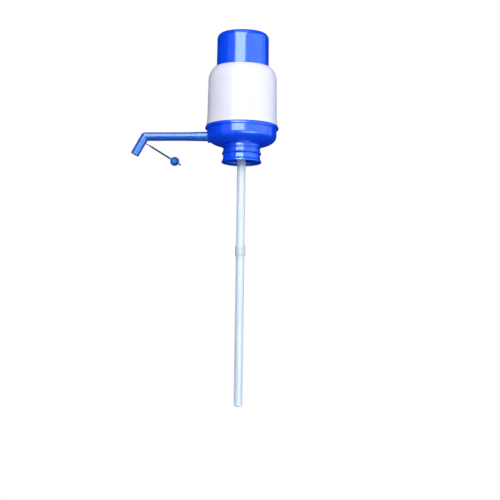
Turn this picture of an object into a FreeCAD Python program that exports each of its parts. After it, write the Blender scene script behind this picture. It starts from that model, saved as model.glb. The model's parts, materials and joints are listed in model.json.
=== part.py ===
"""Hand pump for a large water bottle.

A press button squeezes a bellows inside the housing. The air goes through the
deck into the base bowl and down into the bottle, and the water comes up the
dip tube, through the elbow and out of the spout.

Millimetres. z = 0 is the plane of the bottle's mouth, +Z is up and the spout
leaves along -X.
"""

import FreeCAD, Part
import math
import os

V = FreeCAD.Vector
UP = V(0, 0, 1)

# ---------------------------------------------------------------- the bottle
mouth_land_radius = 25.5          # flat top of the bottle's mouth
crown_radius = 27.5               # bead round the mouth
bottle_neck_radius = 26.25        # neck under the bead

# ------------------------------------------------------------------ the fits
running_gap = 0.06                # radial, a part that turns in its socket
seal_gap = 0.03                   # radial, a ring seal that turns in a bore
slide_gap = 0.35                  # radial, the button in the housing
snap_gap = 0.10                   # radial, shells that snap together
screw_gap = 0.10                  # radial, a screw in a through hole
loose_gap = 0.20                  # radial, loose rings and discs
rest_gap = 0.30                   # between a stop and what meets it

# ---------------------------------------------------------------- neck sleeve
sleeve_wall = 1.5
sleeve_depth = 24.0               # from the mouth down to the lip
crown_room = 0.75                 # radial room round the bottle's bead
upper_valley_depth = 2.9          # groove under the top band
crown_depth = 10.0                # the widest place of the bead
lower_valley_depth = 16.9         # the groove that snaps under the bead
lip_flare = 2.2                   # the lip stands out this far past the groove
lip_thickness = 2.6
band_wall = 2.45                  # top band, round the bottle's mouth
band_depth = 3.6                  # the thick wall of the band goes down this far
tongue_neck = 1.3                 # width of the tongue that snaps into the bowl
tongue_bead = 2.1                 # width of its bead
tongue_neck_height = 0.9
tongue_height = 2.6
tongue_gap = 0.05                 # round the tongue in its groove

# --------------------------------------------------------------- mouth gasket
gasket_thickness = 2.5
gasket_inner_radius = 21.6
gasket_edge = 0.5                 # rounding of its edges

# ------------------------------------------------------------------ base bowl
bowl_radius = 52.2
bowl_wall = 3.2
bowl_floor = 2.6
groove_ring_wall = 2.0            # ring inside the bowl, over and beside the tongue's groove
bowl_height = 18.0                # floor to the underside of the rim
bowl_curve_width = 22.1           # the underside curves up over this width
bowl_curve_height = 12.1
rim_overhang = 3.0                # the rim stands out past the bowl
rim_ledge = 1.8                   # and past the housing's foot
rim_round_height = 3.7            # rounding of its lower edge
rim_face_height = 4.8
rim_bevel_height = 3.2
rim_bevel_width = 1.5
upstand_wall = 2.0                # ring that stands up inside the housing
upstand_height = 7.0
snap_bead = 0.5
boss_radius = 3.6
boss_inset = 8.0                  # bowl's inner wall to the middle of a boss
deck_screw_count = 6
deck_screw_start = 30.0           # degrees, first screw
air_port_count = 6
air_port_radius = 2.4
air_port_circle_radius = 17.2

# -------------------------------------------------------- water duct and spout
water_bore_radius = 5.0
spout_axis_height = 16.5
spout_wall = 1.5
spout_root_wall = 2.3
spout_reach = 93.8                # side of the bowl to the corner of the bend
spout_root_reach = 2.8            # side of the bowl to the start of the taper
spout_taper_length = 30.0
spout_fall_angle = 60.6           # nozzle leg below the horizontal
nozzle_length = 31.4              # corner to the open end
nozzle_edge = 0.4
bend_fillet = 1.2                 # inside of the bend
socket_wall = 2.3
socket_length = 18.2              # side of the bowl to the inner end of the socket
duct_spigot_length = 4.6          # how far the elbow plugs into the socket
spout_inset = 1.6                 # from the elbow's end to the spout's end
seal_width = 2.0
seal_depth = 1.2
seal_edge = 2.0                   # land beside a seal's groove
spout_seal_count = 2
duct_wall = 2.2
duct_collar_width = 2.0
duct_collar_height = 1.8

# -------------------------------------------------------------- elbow and tube
tube_wall = 1.3
tube_socket_wall = 2.1
tube_socket_depth = 20.0
tube_socket_drop = 14.0           # lower end of the elbow's socket, under z = 0
elbow_flange_width = 4.0
elbow_flange_height = 3.0
elbow_seal_width = 1.8
elbow_seal_height = 1.5
nut_wall = 3.0
nut_height = 5.5
nut_chamfer = 0.8
tube_end_depth = 391.5            # lower end of the dip tube
tube_joint_depth = 157.4
coupling_length = 15.4
coupling_wall = 1.3
coupling_rib = 1.2

# --------------------------------------------------------------------- housing
housing_wall = 2.2
housing_foot_height = 3.0
housing_flare_height = 7.2
housing_flare = 1.3
housing_draft = 0.85              # the wall leans in by this much to the shoulder
housing_wall_height = 68.2        # rim to the shoulder
shoulder_width = 17.8
shoulder_height = 23.85
opening_round = 0.8
guide_wall = 1.8
guide_length = 14.0
guide_rib_count = 4
guide_rib_start = 45.0            # degrees
guide_rib_thickness = 2.4
guide_rib_depth = 2.2             # how far a rib reaches over the button's flange
stop_rib_thickness = 8.0

# ---------------------------------------------------------------- press button
button_radius = 39.1
button_draft = 0.35
button_rise = 54.4                # crown of the button over the housing's opening
button_round = 10.3
button_crown_radius = 220.0
button_wall = 2.4
button_stroke = 40.0
flange_width = 4.5
flange_thickness = 3.0
hub_radius = 13.5
hub_wall = 2.5
hub_window_width = 6.0
hub_window_height = 8.0
hub_window_turn = 60.0            # degrees from a screw to a window
hub_hole_rise = 6.0               # the hub's hole goes this far above the ribs' ends
hub_depth = 23.5                  # crown of the button to the bellows' head
button_rib_count = 6
button_rib_thickness = 1.8
button_rib_drop = 9.0             # ribs end this far above the hub's end
head_boss_radius = 3.4
head_screw_count = 3
head_screw_circle_radius = 24.0
head_screw_start = 60.0           # degrees

# --------------------------------------------------------------------- bellows
bellows_room = 2.7                # radial, bellows inside the button
bellows_fold_depth = 5.8
bellows_wall = 1.2
bellows_folds = 11
fold_land = 1.6
bellows_flange = 1.6
bellows_foot_room = 0.2           # radial, the foot in its clamp
bellows_top_inner_radius = 20.5

# ------------------------------------------------------- deck, clamp, head ring
deck_thickness = 3.0
deck_gap = 0.2                    # radial, deck in the bowl
deck_room = 0.4                   # deck over the spout socket
deck_edge_width = 3.6
deck_edge_height = 5.4
deck_seal_width = 2.4
deck_seal_depth = 1.5
deck_seal_height = 1.7            # from the deck's underside to its seal
locating_ring_height = 2.6
locating_ring_wall = 1.6
clamp_lip_height = 2.6
clamp_width = 3.7                 # middle of the screws to the clamp's outside
clamp_web = 1.2                   # wall left between the screw holes and the bellows' foot
clamp_lip_room = 0.7              # radial, clamp round the folds
head_thickness = 3.0
head_radius = 31.0
head_ring_thickness = 3.5
head_ring_inner_radius = 17.0
head_ring_radius = 26.6

# ---------------------------------------------------------------------- valves
outlet_valve_reach = 18.6         # pump axis to the outlet valve, inside the bellows' foot
valve_hole_count = 5
valve_hole_radius = 1.7
valve_hole_circle_radius = 4.8
valve_seat_radius = 8.2           # middle of the seat ring
valve_seat_width = 1.2
valve_seat_height = 0.8
valve_disc_radius = 9.4
valve_disc_thickness = 1.2
valve_lift = 1.1
valve_touch = 0.05                # what is left of the gap when the valve is shut
cage_wall = 1.15
cage_floor = 1.75
cage_arm_width = 2.2
cage_hub_radius = 2.4
cage_boss_wall = 1.8
cage_boss_height = 4.0

# ---------------------------------------------------------------------- screws
screw_radius = 1.5
screw_head_radius = 2.9
screw_head_height = 1.9
screw_recess = 1.1
screw_recess_width = 0.8
edge_round = 0.4                  # small edges of mouldings
edge_chamfer = 0.8                # larger ones
deck_screw_length = 16.0
head_screw_length = 14.0

# --------------------------------------------------------------- tether and plug
tether_reach = 8.5                # corner of the bend to the ring
ring_width = 2.4
ring_wall = 0.8
ring_gap = 0.15                   # each side of the ring in its groove
groove_depth = 0.5
strap_width = 2.6
strap_thickness = 1.3
strap_hinge_reach = 9.3           # nozzle axis to the bend of the strap
strap_hinge_gap = 0.10
strap_twist_length = 14.0
strap_twist_steps = 5
strap_droop = 2.6                 # degrees under the ring's plane
strap_bend_limit = 80.0           # degrees, the strap bent down along the nozzle
plug_reach = 58.3                 # nozzle axis to the plug's centre
plug_radius = 7.0
plug_flange = 1.6
plug_wall = 1.1
plug_length = 6.0
plug_floor = 1.2
plug_gap = 0.05
plug_edge = 0.3
tab_reach = 9.1                   # plug's centre to the pull tab's knob
tab_knob_radius = 1.5
tab_neck_width = 1.2

# ------------------------------------------------------------- derived heights
floor_z = gasket_thickness
floor_top_z = floor_z + bowl_floor
groove_ring_top_z = floor_z + tongue_height + groove_ring_wall
rim_under_z = floor_z + bowl_height
rim_side_z = rim_under_z + rim_round_height
rim_bevel_z = rim_side_z + rim_face_height
rim_top_z = rim_bevel_z + rim_bevel_height
upstand_top_z = rim_top_z + upstand_height
socket_bore_radius = water_bore_radius + spout_root_wall + running_gap
socket_radius = socket_bore_radius + socket_wall
deck_under_z = spout_axis_height + socket_radius + deck_room
deck_top_z = deck_under_z + deck_thickness
clamp_top_z = deck_top_z + bellows_flange + clamp_lip_height
shoulder_z = rim_top_z + housing_wall_height

# -------------------------------------------------------------- derived radii
chamber_radius = bowl_radius - bowl_wall
boss_circle_radius = chamber_radius - boss_inset
rim_radius = bowl_radius + rim_overhang
housing_foot_radius = rim_radius - rim_ledge
housing_foot_inner_radius = housing_foot_radius - housing_wall
upstand_radius = housing_foot_inner_radius - snap_gap
housing_radius = housing_foot_radius - housing_flare
shoulder_radius = housing_radius - housing_draft
opening_radius = button_radius + slide_gap
guide_radius = opening_radius + guide_wall
flange_radius = button_radius + flange_width
tube_radius = water_bore_radius + tube_wall
tube_socket_radius = tube_radius + tube_socket_wall
duct_radius = water_bore_radius + duct_wall
spout_radius = water_bore_radius + spout_wall
spout_root_radius = water_bore_radius + spout_root_wall
cage_radius = valve_disc_radius + slide_gap + cage_wall
cage_boss_radius = cage_radius + cage_boss_wall
bellows_radius = button_radius - button_wall - bellows_room
bellows_bore_radius = bellows_radius - bellows_fold_depth - bellows_wall
bellows_foot_radius = boss_circle_radius - screw_radius - screw_gap - clamp_web
clamp_radius = boss_circle_radius + clamp_width
clamp_lip_inner_radius = bellows_radius + clamp_lip_room
band_radius = mouth_land_radius + crown_room
tongue_radius = band_radius + 0.5 * band_wall

# ------------------------------------------------- distances along the spout's axis
socket_inner_reach = bowl_radius - socket_length
spout_taper_start = bowl_radius + spout_root_reach
spout_taper_end = spout_taper_start + spout_taper_length
spout_corner_reach = bowl_radius + spout_reach


def ellipse_height(radius, centre_radius, half_width, half_height):
    """Height over its centre of an ellipse that stands in the profile plane."""
    share = (radius - centre_radius) / half_width
    return half_height * math.sqrt(1.0 - share * share)


shoulder_centre_radius = shoulder_radius - shoulder_width
lip_radius = opening_radius + opening_round
lip_z = shoulder_z + ellipse_height(
    lip_radius, shoulder_centre_radius, shoulder_width, shoulder_height)
guide_bottom_z = lip_z - opening_round - guide_length
flange_top_z = guide_bottom_z - rest_gap
button_bottom_z = flange_top_z - flange_thickness
stop_z = button_bottom_z - button_stroke - rest_gap
crown_z = lip_z + button_rise
head_top_z = crown_z - hub_depth
head_under_z = head_top_z - head_thickness


# -------------------------------------------------------------- drawing helpers
class Profile:
    """A closed outline in the radius-height plane, drawn edge by edge and turned."""

    def __init__(self, radius, height):
        self.first = V(radius, 0, height)
        self.here = self.first
        self.edges = []

    def to(self, radius, height):
        end = V(radius, 0, height)
        self.edges.append(Part.LineSegment(self.here, end).toShape())
        self.here = end
        return self

    def arc(self, via_radius, via_height, radius, height):
        end = V(radius, 0, height)
        self.edges.append(Part.Arc(self.here, V(via_radius, 0, via_height), end).toShape())
        self.here = end
        return self

    def corner(self, centre_radius, centre_height, radius, height):
        """A quarter-round about a centre."""
        centre = V(centre_radius, 0, centre_height)
        end = V(radius, 0, height)
        size = (end - centre).Length
        middle = centre + ((self.here - centre) + (end - centre)).normalize() * size
        return self.arc(middle.x, middle.z, radius, height)

    def curve(self, points):
        """A smooth curve through points, the last of which is its end."""
        line = Part.BSplineCurve()
        line.interpolate([self.here] + [V(radius, 0, height) for radius, height in points])
        self.edges.append(line.toShape())
        self.here = V(points[-1][0], 0, points[-1][1])
        return self

    def turned(self):
        if (self.here - self.first).Length > 1e-6:
            self.to(self.first.x, self.first.z)
        solid = Part.Face(Part.Wire(self.edges)).revolve(V(0, 0, 0), UP, 360)
        return solid.reversed() if solid.Volume < 0 else solid


def ellipse_arc(centre_radius, centre_z, half_width, half_height, start, end, steps):
    """Points of an ellipse after its start; angles in degrees from the radius axis."""
    points = []
    for step in range(1, steps + 1):
        angle = math.radians(start + (end - start) * step / steps)
        points.append((centre_radius + half_width * math.cos(angle),
                       centre_z + half_height * math.sin(angle)))
    return points


def rod(radius, bottom, top, x=0.0, y=0.0):
    return Part.makeCylinder(radius, top - bottom, V(x, y, bottom))


def ring(inner, outer, bottom, top):
    return rod(outer, bottom, top).cut(rod(inner, bottom, top))


def beam(radius, near, far):
    """A round bar that lies along -X on the spout's axis."""
    return Part.makeCylinder(radius, far - near, V(-near, 0, spout_axis_height), V(-1, 0, 0))


def spread(shape, count, start=0.0):
    """Copies of a shape spaced evenly round the pump's axis."""
    copies = []
    for index in range(count):
        copy = shape.copy()
        copy.rotate(V(0, 0, 0), UP, start + index * 360.0 / count)
        copies.append(copy)
    return copies


def at_valve(shape, reach):
    moved = shape.copy()
    moved.translate(V(reach, 0, 0))
    return moved


def seal_ring(inner, outer, near, far):
    """A ring seal of D section that lies in a groove of a shaft along -X."""
    middle = (near + far) / 2.0
    shoulder = outer - (outer - inner) * 0.4
    seal = (Profile(inner, near).to(shoulder, near).arc(outer, middle, shoulder, far)
            .to(inner, far).turned())
    seal.rotate(V(0, 0, 0), V(0, 1, 0), -90)
    seal.translate(V(0, 0, spout_axis_height))
    return seal


def pan_screw(head_z, length, sign):
    """A pan-head screw; its shank runs from the head along sign * Z."""
    shank = rod(screw_radius, 0, length)
    head = (Profile(0, 0).to(0, -screw_head_height)
            .arc(screw_head_radius * 0.55, -screw_head_height * 0.86,
                 screw_head_radius, -screw_head_height * 0.35)
            .to(screw_head_radius, 0).turned())
    slot = Part.makeBox(screw_head_radius, screw_recess_width, screw_recess + 1,
                        V(-0.5 * screw_head_radius, -0.5 * screw_recess_width,
                          -screw_head_height - 1))
    cross = slot.copy()
    cross.rotate(V(0, 0, 0), UP, 90)
    screw = shank.fuse(head).cut(slot.fuse(cross))
    if sign < 0:
        screw.rotate(V(0, 0, 0), V(1, 0, 0), 180)
    screw.translate(V(0, 0, head_z))
    return screw


# ------------------------------------------------------------------ neck pieces
def tongue_outline(start, gap):
    """Adds the sleeve's tongue to an outline that runs outward along the floor."""
    neck = 0.5 * tongue_neck + gap
    bead = 0.5 * tongue_bead + gap
    neck_top_z = floor_z + tongue_neck_height - gap
    top_z = floor_z + tongue_height + gap
    return (start.to(tongue_radius - neck, floor_z)
            .to(tongue_radius - neck, neck_top_z)
            .to(tongue_radius - bead, neck_top_z + edge_round)
            .to(tongue_radius - bead, top_z - edge_chamfer)
            .to(tongue_radius - bead + edge_round, top_z)
            .to(tongue_radius + bead - edge_round, top_z)
            .to(tongue_radius + bead, top_z - edge_chamfer)
            .to(tongue_radius + bead, neck_top_z + edge_round)
            .to(tongue_radius + neck, neck_top_z)
            .to(tongue_radius + neck, floor_z))


def neck_sleeve():
    """Soft sleeve in three bands; its tongue holds it in the bowl and it snaps over the bead."""
    top = band_radius + band_wall
    upper = top - 0.5 * sleeve_wall
    bead = crown_radius + crown_room + sleeve_wall
    valley = bottle_neck_radius + sleeve_wall
    lip = valley + lip_flare
    rise = (crown_depth - upper_valley_depth) / 3.0
    lower_step = (lower_valley_depth - crown_depth) / 3.0
    grip = bottle_neck_radius
    pocket = crown_radius + crown_room
    lip_side_z = -sleeve_depth + edge_round
    outline = (Profile(top, floor_z)
               .to(top, -upper_valley_depth + sleeve_wall)
               .to(upper, -upper_valley_depth)
               .curve([(upper + 0.5 * (bead - upper), -upper_valley_depth - rise),
                       (bead - 0.1 * sleeve_wall, -crown_depth + 0.5 * rise),
                       (bead, -crown_depth)])
               .to(bead - 0.5 * edge_round, -crown_depth - edge_round)
               .curve([(valley + 0.5 * (bead - valley), -crown_depth - 1.5 * lower_step),
                       (valley + 0.05 * sleeve_wall, -lower_valley_depth + 0.5 * lower_step),
                       (valley, -lower_valley_depth)])
               .curve([(valley + 0.6 * lip_flare, lip_side_z + 1.3 * lip_thickness),
                       (lip, lip_side_z + 0.35 * lip_thickness)])
               .to(lip, lip_side_z)
               .to(lip - edge_round, -sleeve_depth)
               .to(lip - sleeve_wall, -sleeve_depth)
               .to(grip, -lower_valley_depth - lower_step)
               .to(grip, -lower_valley_depth + 0.4 * lower_step)
               .to(pocket, -crown_depth - lower_step)
               .to(pocket, -crown_depth + rise)
               .to(band_radius, -band_depth)
               .to(band_radius, floor_z))
    return tongue_outline(outline, 0.0).turned()


def mouth_gasket():
    inner = gasket_inner_radius
    outer = mouth_land_radius
    return (Profile(inner, gasket_edge)
            .corner(inner + gasket_edge, gasket_edge, inner + gasket_edge, 0)
            .to(outer - gasket_edge, 0)
            .corner(outer - gasket_edge, gasket_edge, outer, gasket_edge)
            .to(outer, gasket_thickness)
            .to(inner, gasket_thickness)
            .turned())


# -------------------------------------------------------------------- base bowl
def base_bowl():
    """Bowl with a proud rim, sleeve groove, spout socket, bosses and air ports."""
    curve_start = bowl_radius - bowl_curve_width
    curve_z = floor_z + bowl_curve_height
    outside = (Profile(0, floor_z)
               .to(curve_start, floor_z)
               .curve(ellipse_arc(curve_start, curve_z, bowl_curve_width, bowl_curve_height,
                                  -90, 0, 6))
               .to(bowl_radius, rim_under_z)
               .curve(ellipse_arc(bowl_radius, rim_side_z, rim_overhang, rim_round_height,
                                  -90, 0, 4))
               .to(rim_radius, rim_bevel_z)
               .curve([(rim_radius - 0.35 * rim_bevel_width, rim_bevel_z + 0.6 * rim_bevel_height),
                       (rim_radius - rim_bevel_width, rim_top_z)])
               .to(upstand_radius, rim_top_z)
               .to(upstand_radius, rim_top_z + 0.5 * upstand_height)
               .to(upstand_radius + snap_bead, rim_top_z + 0.5 * upstand_height + snap_bead)
               .to(upstand_radius, rim_top_z + 0.5 * upstand_height + 2 * snap_bead)
               .to(upstand_radius, upstand_top_z)
               .to(0, upstand_top_z)
               .turned())
    chamber = (Profile(0, floor_top_z)
               .to(curve_start, floor_top_z)
               .curve(ellipse_arc(curve_start, curve_z, chamber_radius - curve_start,
                                  bowl_curve_height - bowl_floor, -90, 0, 6))
               .to(chamber_radius, rim_top_z)
               .to(upstand_radius - upstand_wall, rim_top_z + 1.0)
               .to(upstand_radius - upstand_wall, upstand_top_z)
               .to(0, upstand_top_z)
               .turned())
    bowl = outside.cut(chamber)
    boss = rod(boss_radius, floor_z, deck_under_z, boss_circle_radius)
    socket = beam(socket_radius, socket_inner_reach, bowl_radius)
    inside = [piece.common(outside)
              for piece in spread(boss, deck_screw_count, deck_screw_start) + [socket]]
    ring_half = 0.5 * tongue_bead + groove_ring_wall
    inside.append(ring(tongue_radius - ring_half, tongue_radius + ring_half,
                       floor_top_z - 0.5 * bowl_floor, groove_ring_top_z))
    bowl = bowl.fuse(inside)
    groove = tongue_outline(Profile(tongue_radius - tongue_bead, floor_z - 1.0)
                            .to(tongue_radius - tongue_bead, floor_z), tongue_gap)
    groove = (groove.to(tongue_radius + tongue_bead, floor_z)
              .to(tongue_radius + tongue_bead, floor_z - 1.0).turned())
    pilot_bottom = clamp_top_z - deck_screw_length
    pilot = rod(screw_radius, pilot_bottom, deck_under_z, boss_circle_radius)
    port = rod(air_port_radius, floor_z, floor_top_z, air_port_circle_radius)
    holes = spread(pilot, deck_screw_count, deck_screw_start)
    holes += spread(port, air_port_count)
    holes.append(rod(tube_socket_radius + screw_gap, floor_z, floor_top_z))
    holes.append(beam(socket_bore_radius, socket_inner_reach, rim_radius + 1))
    holes.append(groove)
    return bowl.cut(holes).removeSplitter()


# ----------------------------------------------------------------- water pieces
def water_elbow():
    """Duct from the dip tube to the spout socket, held in the floor by a nut."""
    corner = V(0, 0, spout_axis_height)
    duct_end = socket_inner_reach + duct_spigot_length
    collar_radius = tube_socket_radius + elbow_flange_width
    flange_top = floor_top_z + elbow_flange_height
    body = rod(tube_socket_radius, -tube_socket_drop, flange_top)
    body = body.fuse([
        rod(duct_radius, flange_top, spout_axis_height),
        Part.makeSphere(duct_radius, corner),
        beam(duct_radius, 0, duct_end),
        rod(collar_radius, floor_top_z, flange_top),
        beam(duct_radius + duct_collar_height, socket_inner_reach - duct_collar_width,
             socket_inner_reach),
    ])
    socket_top = tube_socket_depth - tube_socket_drop
    seal_inner = tube_socket_radius + 0.5 * (elbow_flange_width - elbow_seal_width)
    groove_near = socket_inner_reach + 0.5 * (duct_spigot_length - seal_width)
    cuts = [
        rod(water_bore_radius, -tube_socket_drop, spout_axis_height),
        rod(tube_radius, -tube_socket_drop, socket_top),
        Part.makeSphere(water_bore_radius, corner),
        beam(water_bore_radius, 0, duct_end),
        ring(seal_inner, seal_inner + elbow_seal_width, floor_top_z,
             floor_top_z + elbow_seal_height),
        beam(duct_radius, groove_near, groove_near + seal_width).cut(
            beam(duct_radius - seal_depth, groove_near, groove_near + seal_width)),
    ]
    return body.cut(cuts).removeSplitter()


def elbow_seal():
    inner = tube_socket_radius + 0.5 * (elbow_flange_width - elbow_seal_width)
    return ring(inner, inner + elbow_seal_width, floor_top_z, floor_top_z + elbow_seal_height)


def duct_seal():
    near = socket_inner_reach + 0.5 * (duct_spigot_length - seal_width)
    return seal_ring(duct_radius - seal_depth, socket_bore_radius, near, near + seal_width)


def elbow_nut():
    """Hexagon nut under the floor; its corners are chamfered."""
    flat_radius = tube_socket_radius + nut_wall
    corner_radius = flat_radius / math.cos(math.radians(30))
    corners = [V(corner_radius * math.cos(math.radians(60 * index)),
                 corner_radius * math.sin(math.radians(60 * index)),
                 floor_z - nut_height) for index in range(7)]
    hexagon = Part.Face(Part.makePolygon(corners)).extrude(V(0, 0, nut_height))
    dome = (Profile(0, floor_z).to(corner_radius, floor_z)
            .to(corner_radius, floor_z - nut_height + nut_chamfer)
            .to(corner_radius - 1.6 * nut_chamfer, floor_z - nut_height)
            .to(0, floor_z - nut_height).turned())
    thread = rod(tube_socket_radius, floor_z - nut_height, floor_z)
    return hexagon.common(dome).cut(thread)


def dip_tube(bottom, top):
    return ring(water_bore_radius, tube_radius, bottom, top)


def dip_tube_upper():
    return dip_tube(-tube_joint_depth + 0.5 * coupling_rib, tube_socket_depth - tube_socket_drop)


def dip_tube_lower():
    return dip_tube(-tube_end_depth, -tube_joint_depth - 0.5 * coupling_rib)


def tube_coupling():
    """Sleeve over the two tube ends, with a rib between them."""
    half = 0.5 * coupling_length
    outer = tube_radius + coupling_wall
    sleeve = (Profile(tube_radius, -tube_joint_depth - half)
              .to(outer - edge_round, -tube_joint_depth - half)
              .to(outer, -tube_joint_depth - half + edge_chamfer)
              .to(outer, -tube_joint_depth + half - edge_chamfer)
              .to(outer - edge_round, -tube_joint_depth + half)
              .to(tube_radius, -tube_joint_depth + half)
              .turned())
    rib = ring(water_bore_radius, tube_radius + 0.5 * coupling_wall,
               -tube_joint_depth - 0.5 * coupling_rib, -tube_joint_depth + 0.5 * coupling_rib)
    return sleeve.fuse(rib).removeSplitter()


# ---------------------------------------------------------------------- housing
def housing():
    """White shell with a domed shoulder, a guide collar and guide ribs."""
    foot_z = rim_top_z + housing_foot_height
    flare_z = foot_z + housing_flare_height
    inner_shoulder_width = shoulder_width - housing_wall
    inner_shoulder_height = shoulder_height - housing_wall
    lip_angle = math.degrees(math.acos((lip_radius - shoulder_centre_radius) / shoulder_width))
    guide_angle = math.degrees(
        math.acos((guide_radius - shoulder_centre_radius) / inner_shoulder_width))
    inner_guide_z = shoulder_z + inner_shoulder_height * math.sin(math.radians(guide_angle))
    inner_arc = ellipse_arc(shoulder_centre_radius, shoulder_z, inner_shoulder_width,
                            inner_shoulder_height, guide_angle, 0, 6)
    shell = (Profile(housing_foot_inner_radius, rim_top_z)
             .to(housing_foot_radius, rim_top_z)
             .to(housing_foot_radius, foot_z)
             .curve([(housing_foot_radius - 0.55 * housing_flare,
                      foot_z + 0.42 * housing_flare_height),
                     (housing_foot_radius - 0.9 * housing_flare,
                      foot_z + 0.75 * housing_flare_height),
                     (housing_radius, flare_z)])
             .to(shoulder_radius, shoulder_z)
             .curve(ellipse_arc(shoulder_centre_radius, shoulder_z, shoulder_width,
                                shoulder_height, 0, lip_angle, 7))
             .corner(lip_radius, lip_z - opening_round, opening_radius, lip_z - opening_round)
             .to(opening_radius, guide_bottom_z)
             .to(guide_radius, guide_bottom_z)
             .to(guide_radius, inner_guide_z)
             .curve(inner_arc)
             .to(housing_radius - housing_wall, flare_z)
             .to(housing_foot_inner_radius, upstand_top_z + 1.0)
             .to(housing_foot_inner_radius, rim_top_z + 0.5 * upstand_height + 2 * snap_bead)
             .to(housing_foot_inner_radius + snap_bead,
                 rim_top_z + 0.5 * upstand_height + snap_bead)
             .to(housing_foot_inner_radius, rim_top_z + 0.5 * upstand_height)
             .turned())
    rib_inner = flange_radius - guide_rib_depth
    room = (Profile(0, flare_z)
            .to(housing_radius - 0.5 * housing_wall, flare_z)
            .to(shoulder_radius - 0.5 * housing_wall, shoulder_z)
            .to(guide_radius - 0.5 * guide_wall, inner_guide_z)
            .to(0, inner_guide_z)
            .turned())
    rib = Part.makeBox(housing_radius - rib_inner, guide_rib_thickness, inner_guide_z - flare_z,
                       V(rib_inner, -0.5 * guide_rib_thickness, flare_z))
    stop = Part.makeBox(housing_radius - rib_inner, stop_rib_thickness, stop_z - flare_z,
                        V(rib_inner, -0.5 * stop_rib_thickness, flare_z))
    ribs = spread(rib.fuse(stop).common(room), guide_rib_count, guide_rib_start)
    return shell.fuse(ribs).removeSplitter()


# ----------------------------------------------------------------------- valves
def valve_ports(seat_z, thickness):
    """The holes over a valve, from the top of its plate down to its seat."""
    hole = rod(valve_hole_radius, seat_z, seat_z + valve_seat_height + thickness,
               valve_hole_circle_radius)
    return spread(hole, valve_hole_count)


def valve_seat(plate_z):
    """Seat ring and cage boss under a plate."""
    seat = ring(valve_seat_radius - 0.5 * valve_seat_width,
                valve_seat_radius + 0.5 * valve_seat_width,
                plate_z - valve_seat_height, plate_z)
    boss = ring(cage_radius, cage_boss_radius, plate_z - cage_boss_height, plate_z)
    return [seat, boss]


def valve_disc(plate_z):
    """Flat rubber disc; it lies on its cage while the valve is open."""
    top = plate_z - valve_seat_height - valve_lift - valve_touch
    return (Profile(0, top).to(valve_disc_radius - 0.5 * edge_round, top)
            .to(valve_disc_radius, top - 0.5 * edge_round)
            .to(valve_disc_radius, top - valve_disc_thickness)
            .to(0, top - valve_disc_thickness)
            .turned())


def valve_cage(plate_z):
    """Ring with a spoked floor that keeps the disc under its seat."""
    floor_top = (plate_z - valve_seat_height - valve_lift - valve_touch
                 - valve_disc_thickness)
    boss_end = plate_z - cage_boss_height
    bottom = floor_top - cage_floor
    inner = cage_radius - cage_wall
    wall = ring(inner, cage_radius, bottom, plate_z)
    flange = ring(cage_radius, cage_boss_radius, bottom, boss_end)
    hub = rod(cage_hub_radius, bottom, floor_top)
    arm = Part.makeBox(2 * inner + cage_wall, cage_arm_width, floor_top - bottom,
                       V(-inner - 0.5 * cage_wall, -0.5 * cage_arm_width, bottom))
    cross = arm.copy()
    cross.rotate(V(0, 0, 0), UP, 90)
    return wall.fuse([flange, hub, arm, cross]).removeSplitter()


# ------------------------------------------------------------- deck and bellows
def deck_plate():
    """Plate over the bowl; carries the bellows and the outlet valve."""
    radius = chamber_radius - deck_gap
    seal_z = deck_under_z + deck_seal_height
    plate = (Profile(0, deck_under_z)
             .to(radius, deck_under_z)
             .to(radius, seal_z)
             .to(radius - deck_seal_depth, seal_z)
             .to(radius - deck_seal_depth, seal_z + deck_seal_width)
             .to(radius, seal_z + deck_seal_width)
             .to(radius, deck_under_z + deck_edge_height)
             .to(radius - deck_edge_width, deck_under_z + deck_edge_height)
             .to(radius - deck_edge_width, deck_top_z)
             .to(0, deck_top_z)
             .turned())
    locating_radius = bellows_bore_radius - loose_gap
    locating = ring(locating_radius - locating_ring_wall, locating_radius,
                    deck_top_z, deck_top_z + locating_ring_height)
    seat = [at_valve(piece, outlet_valve_reach) for piece in valve_seat(deck_under_z)]
    plate = plate.fuse([locating] + seat)
    ports = [at_valve(hole, outlet_valve_reach)
             for hole in valve_ports(deck_under_z - valve_seat_height, deck_thickness)]
    screw_hole = rod(screw_radius + screw_gap, deck_under_z, deck_top_z, boss_circle_radius)
    holes = ports + spread(screw_hole, deck_screw_count, deck_screw_start)
    return plate.cut(holes).removeSplitter()


def deck_seal():
    radius = chamber_radius - deck_gap
    inner = radius - deck_seal_depth
    bottom = deck_under_z + deck_seal_height
    top = bottom + deck_seal_width
    shoulder = chamber_radius - 0.35 * deck_seal_depth
    return (Profile(inner, bottom).to(shoulder, bottom)
            .arc(chamber_radius, 0.5 * (bottom + top), shoulder, top)
            .to(inner, top).turned())


def fold_points(inset, bottom, top):
    """Zigzag of the bellows from its foot to its top, moved in by inset."""
    pitch = (top - bottom) / bellows_folds
    crest = bellows_radius - inset
    valley = crest - bellows_fold_depth
    points = []
    for fold in range(bellows_folds):
        z = bottom + fold * pitch
        points += [(valley, z), (valley, z + 0.5 * fold_land),
                   (crest, z + 0.5 * (pitch - fold_land)),
                   (crest, z + 0.5 * (pitch + fold_land)),
                   (valley, z + pitch - 0.5 * fold_land)]
    points.append((valley, top))
    return points


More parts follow.
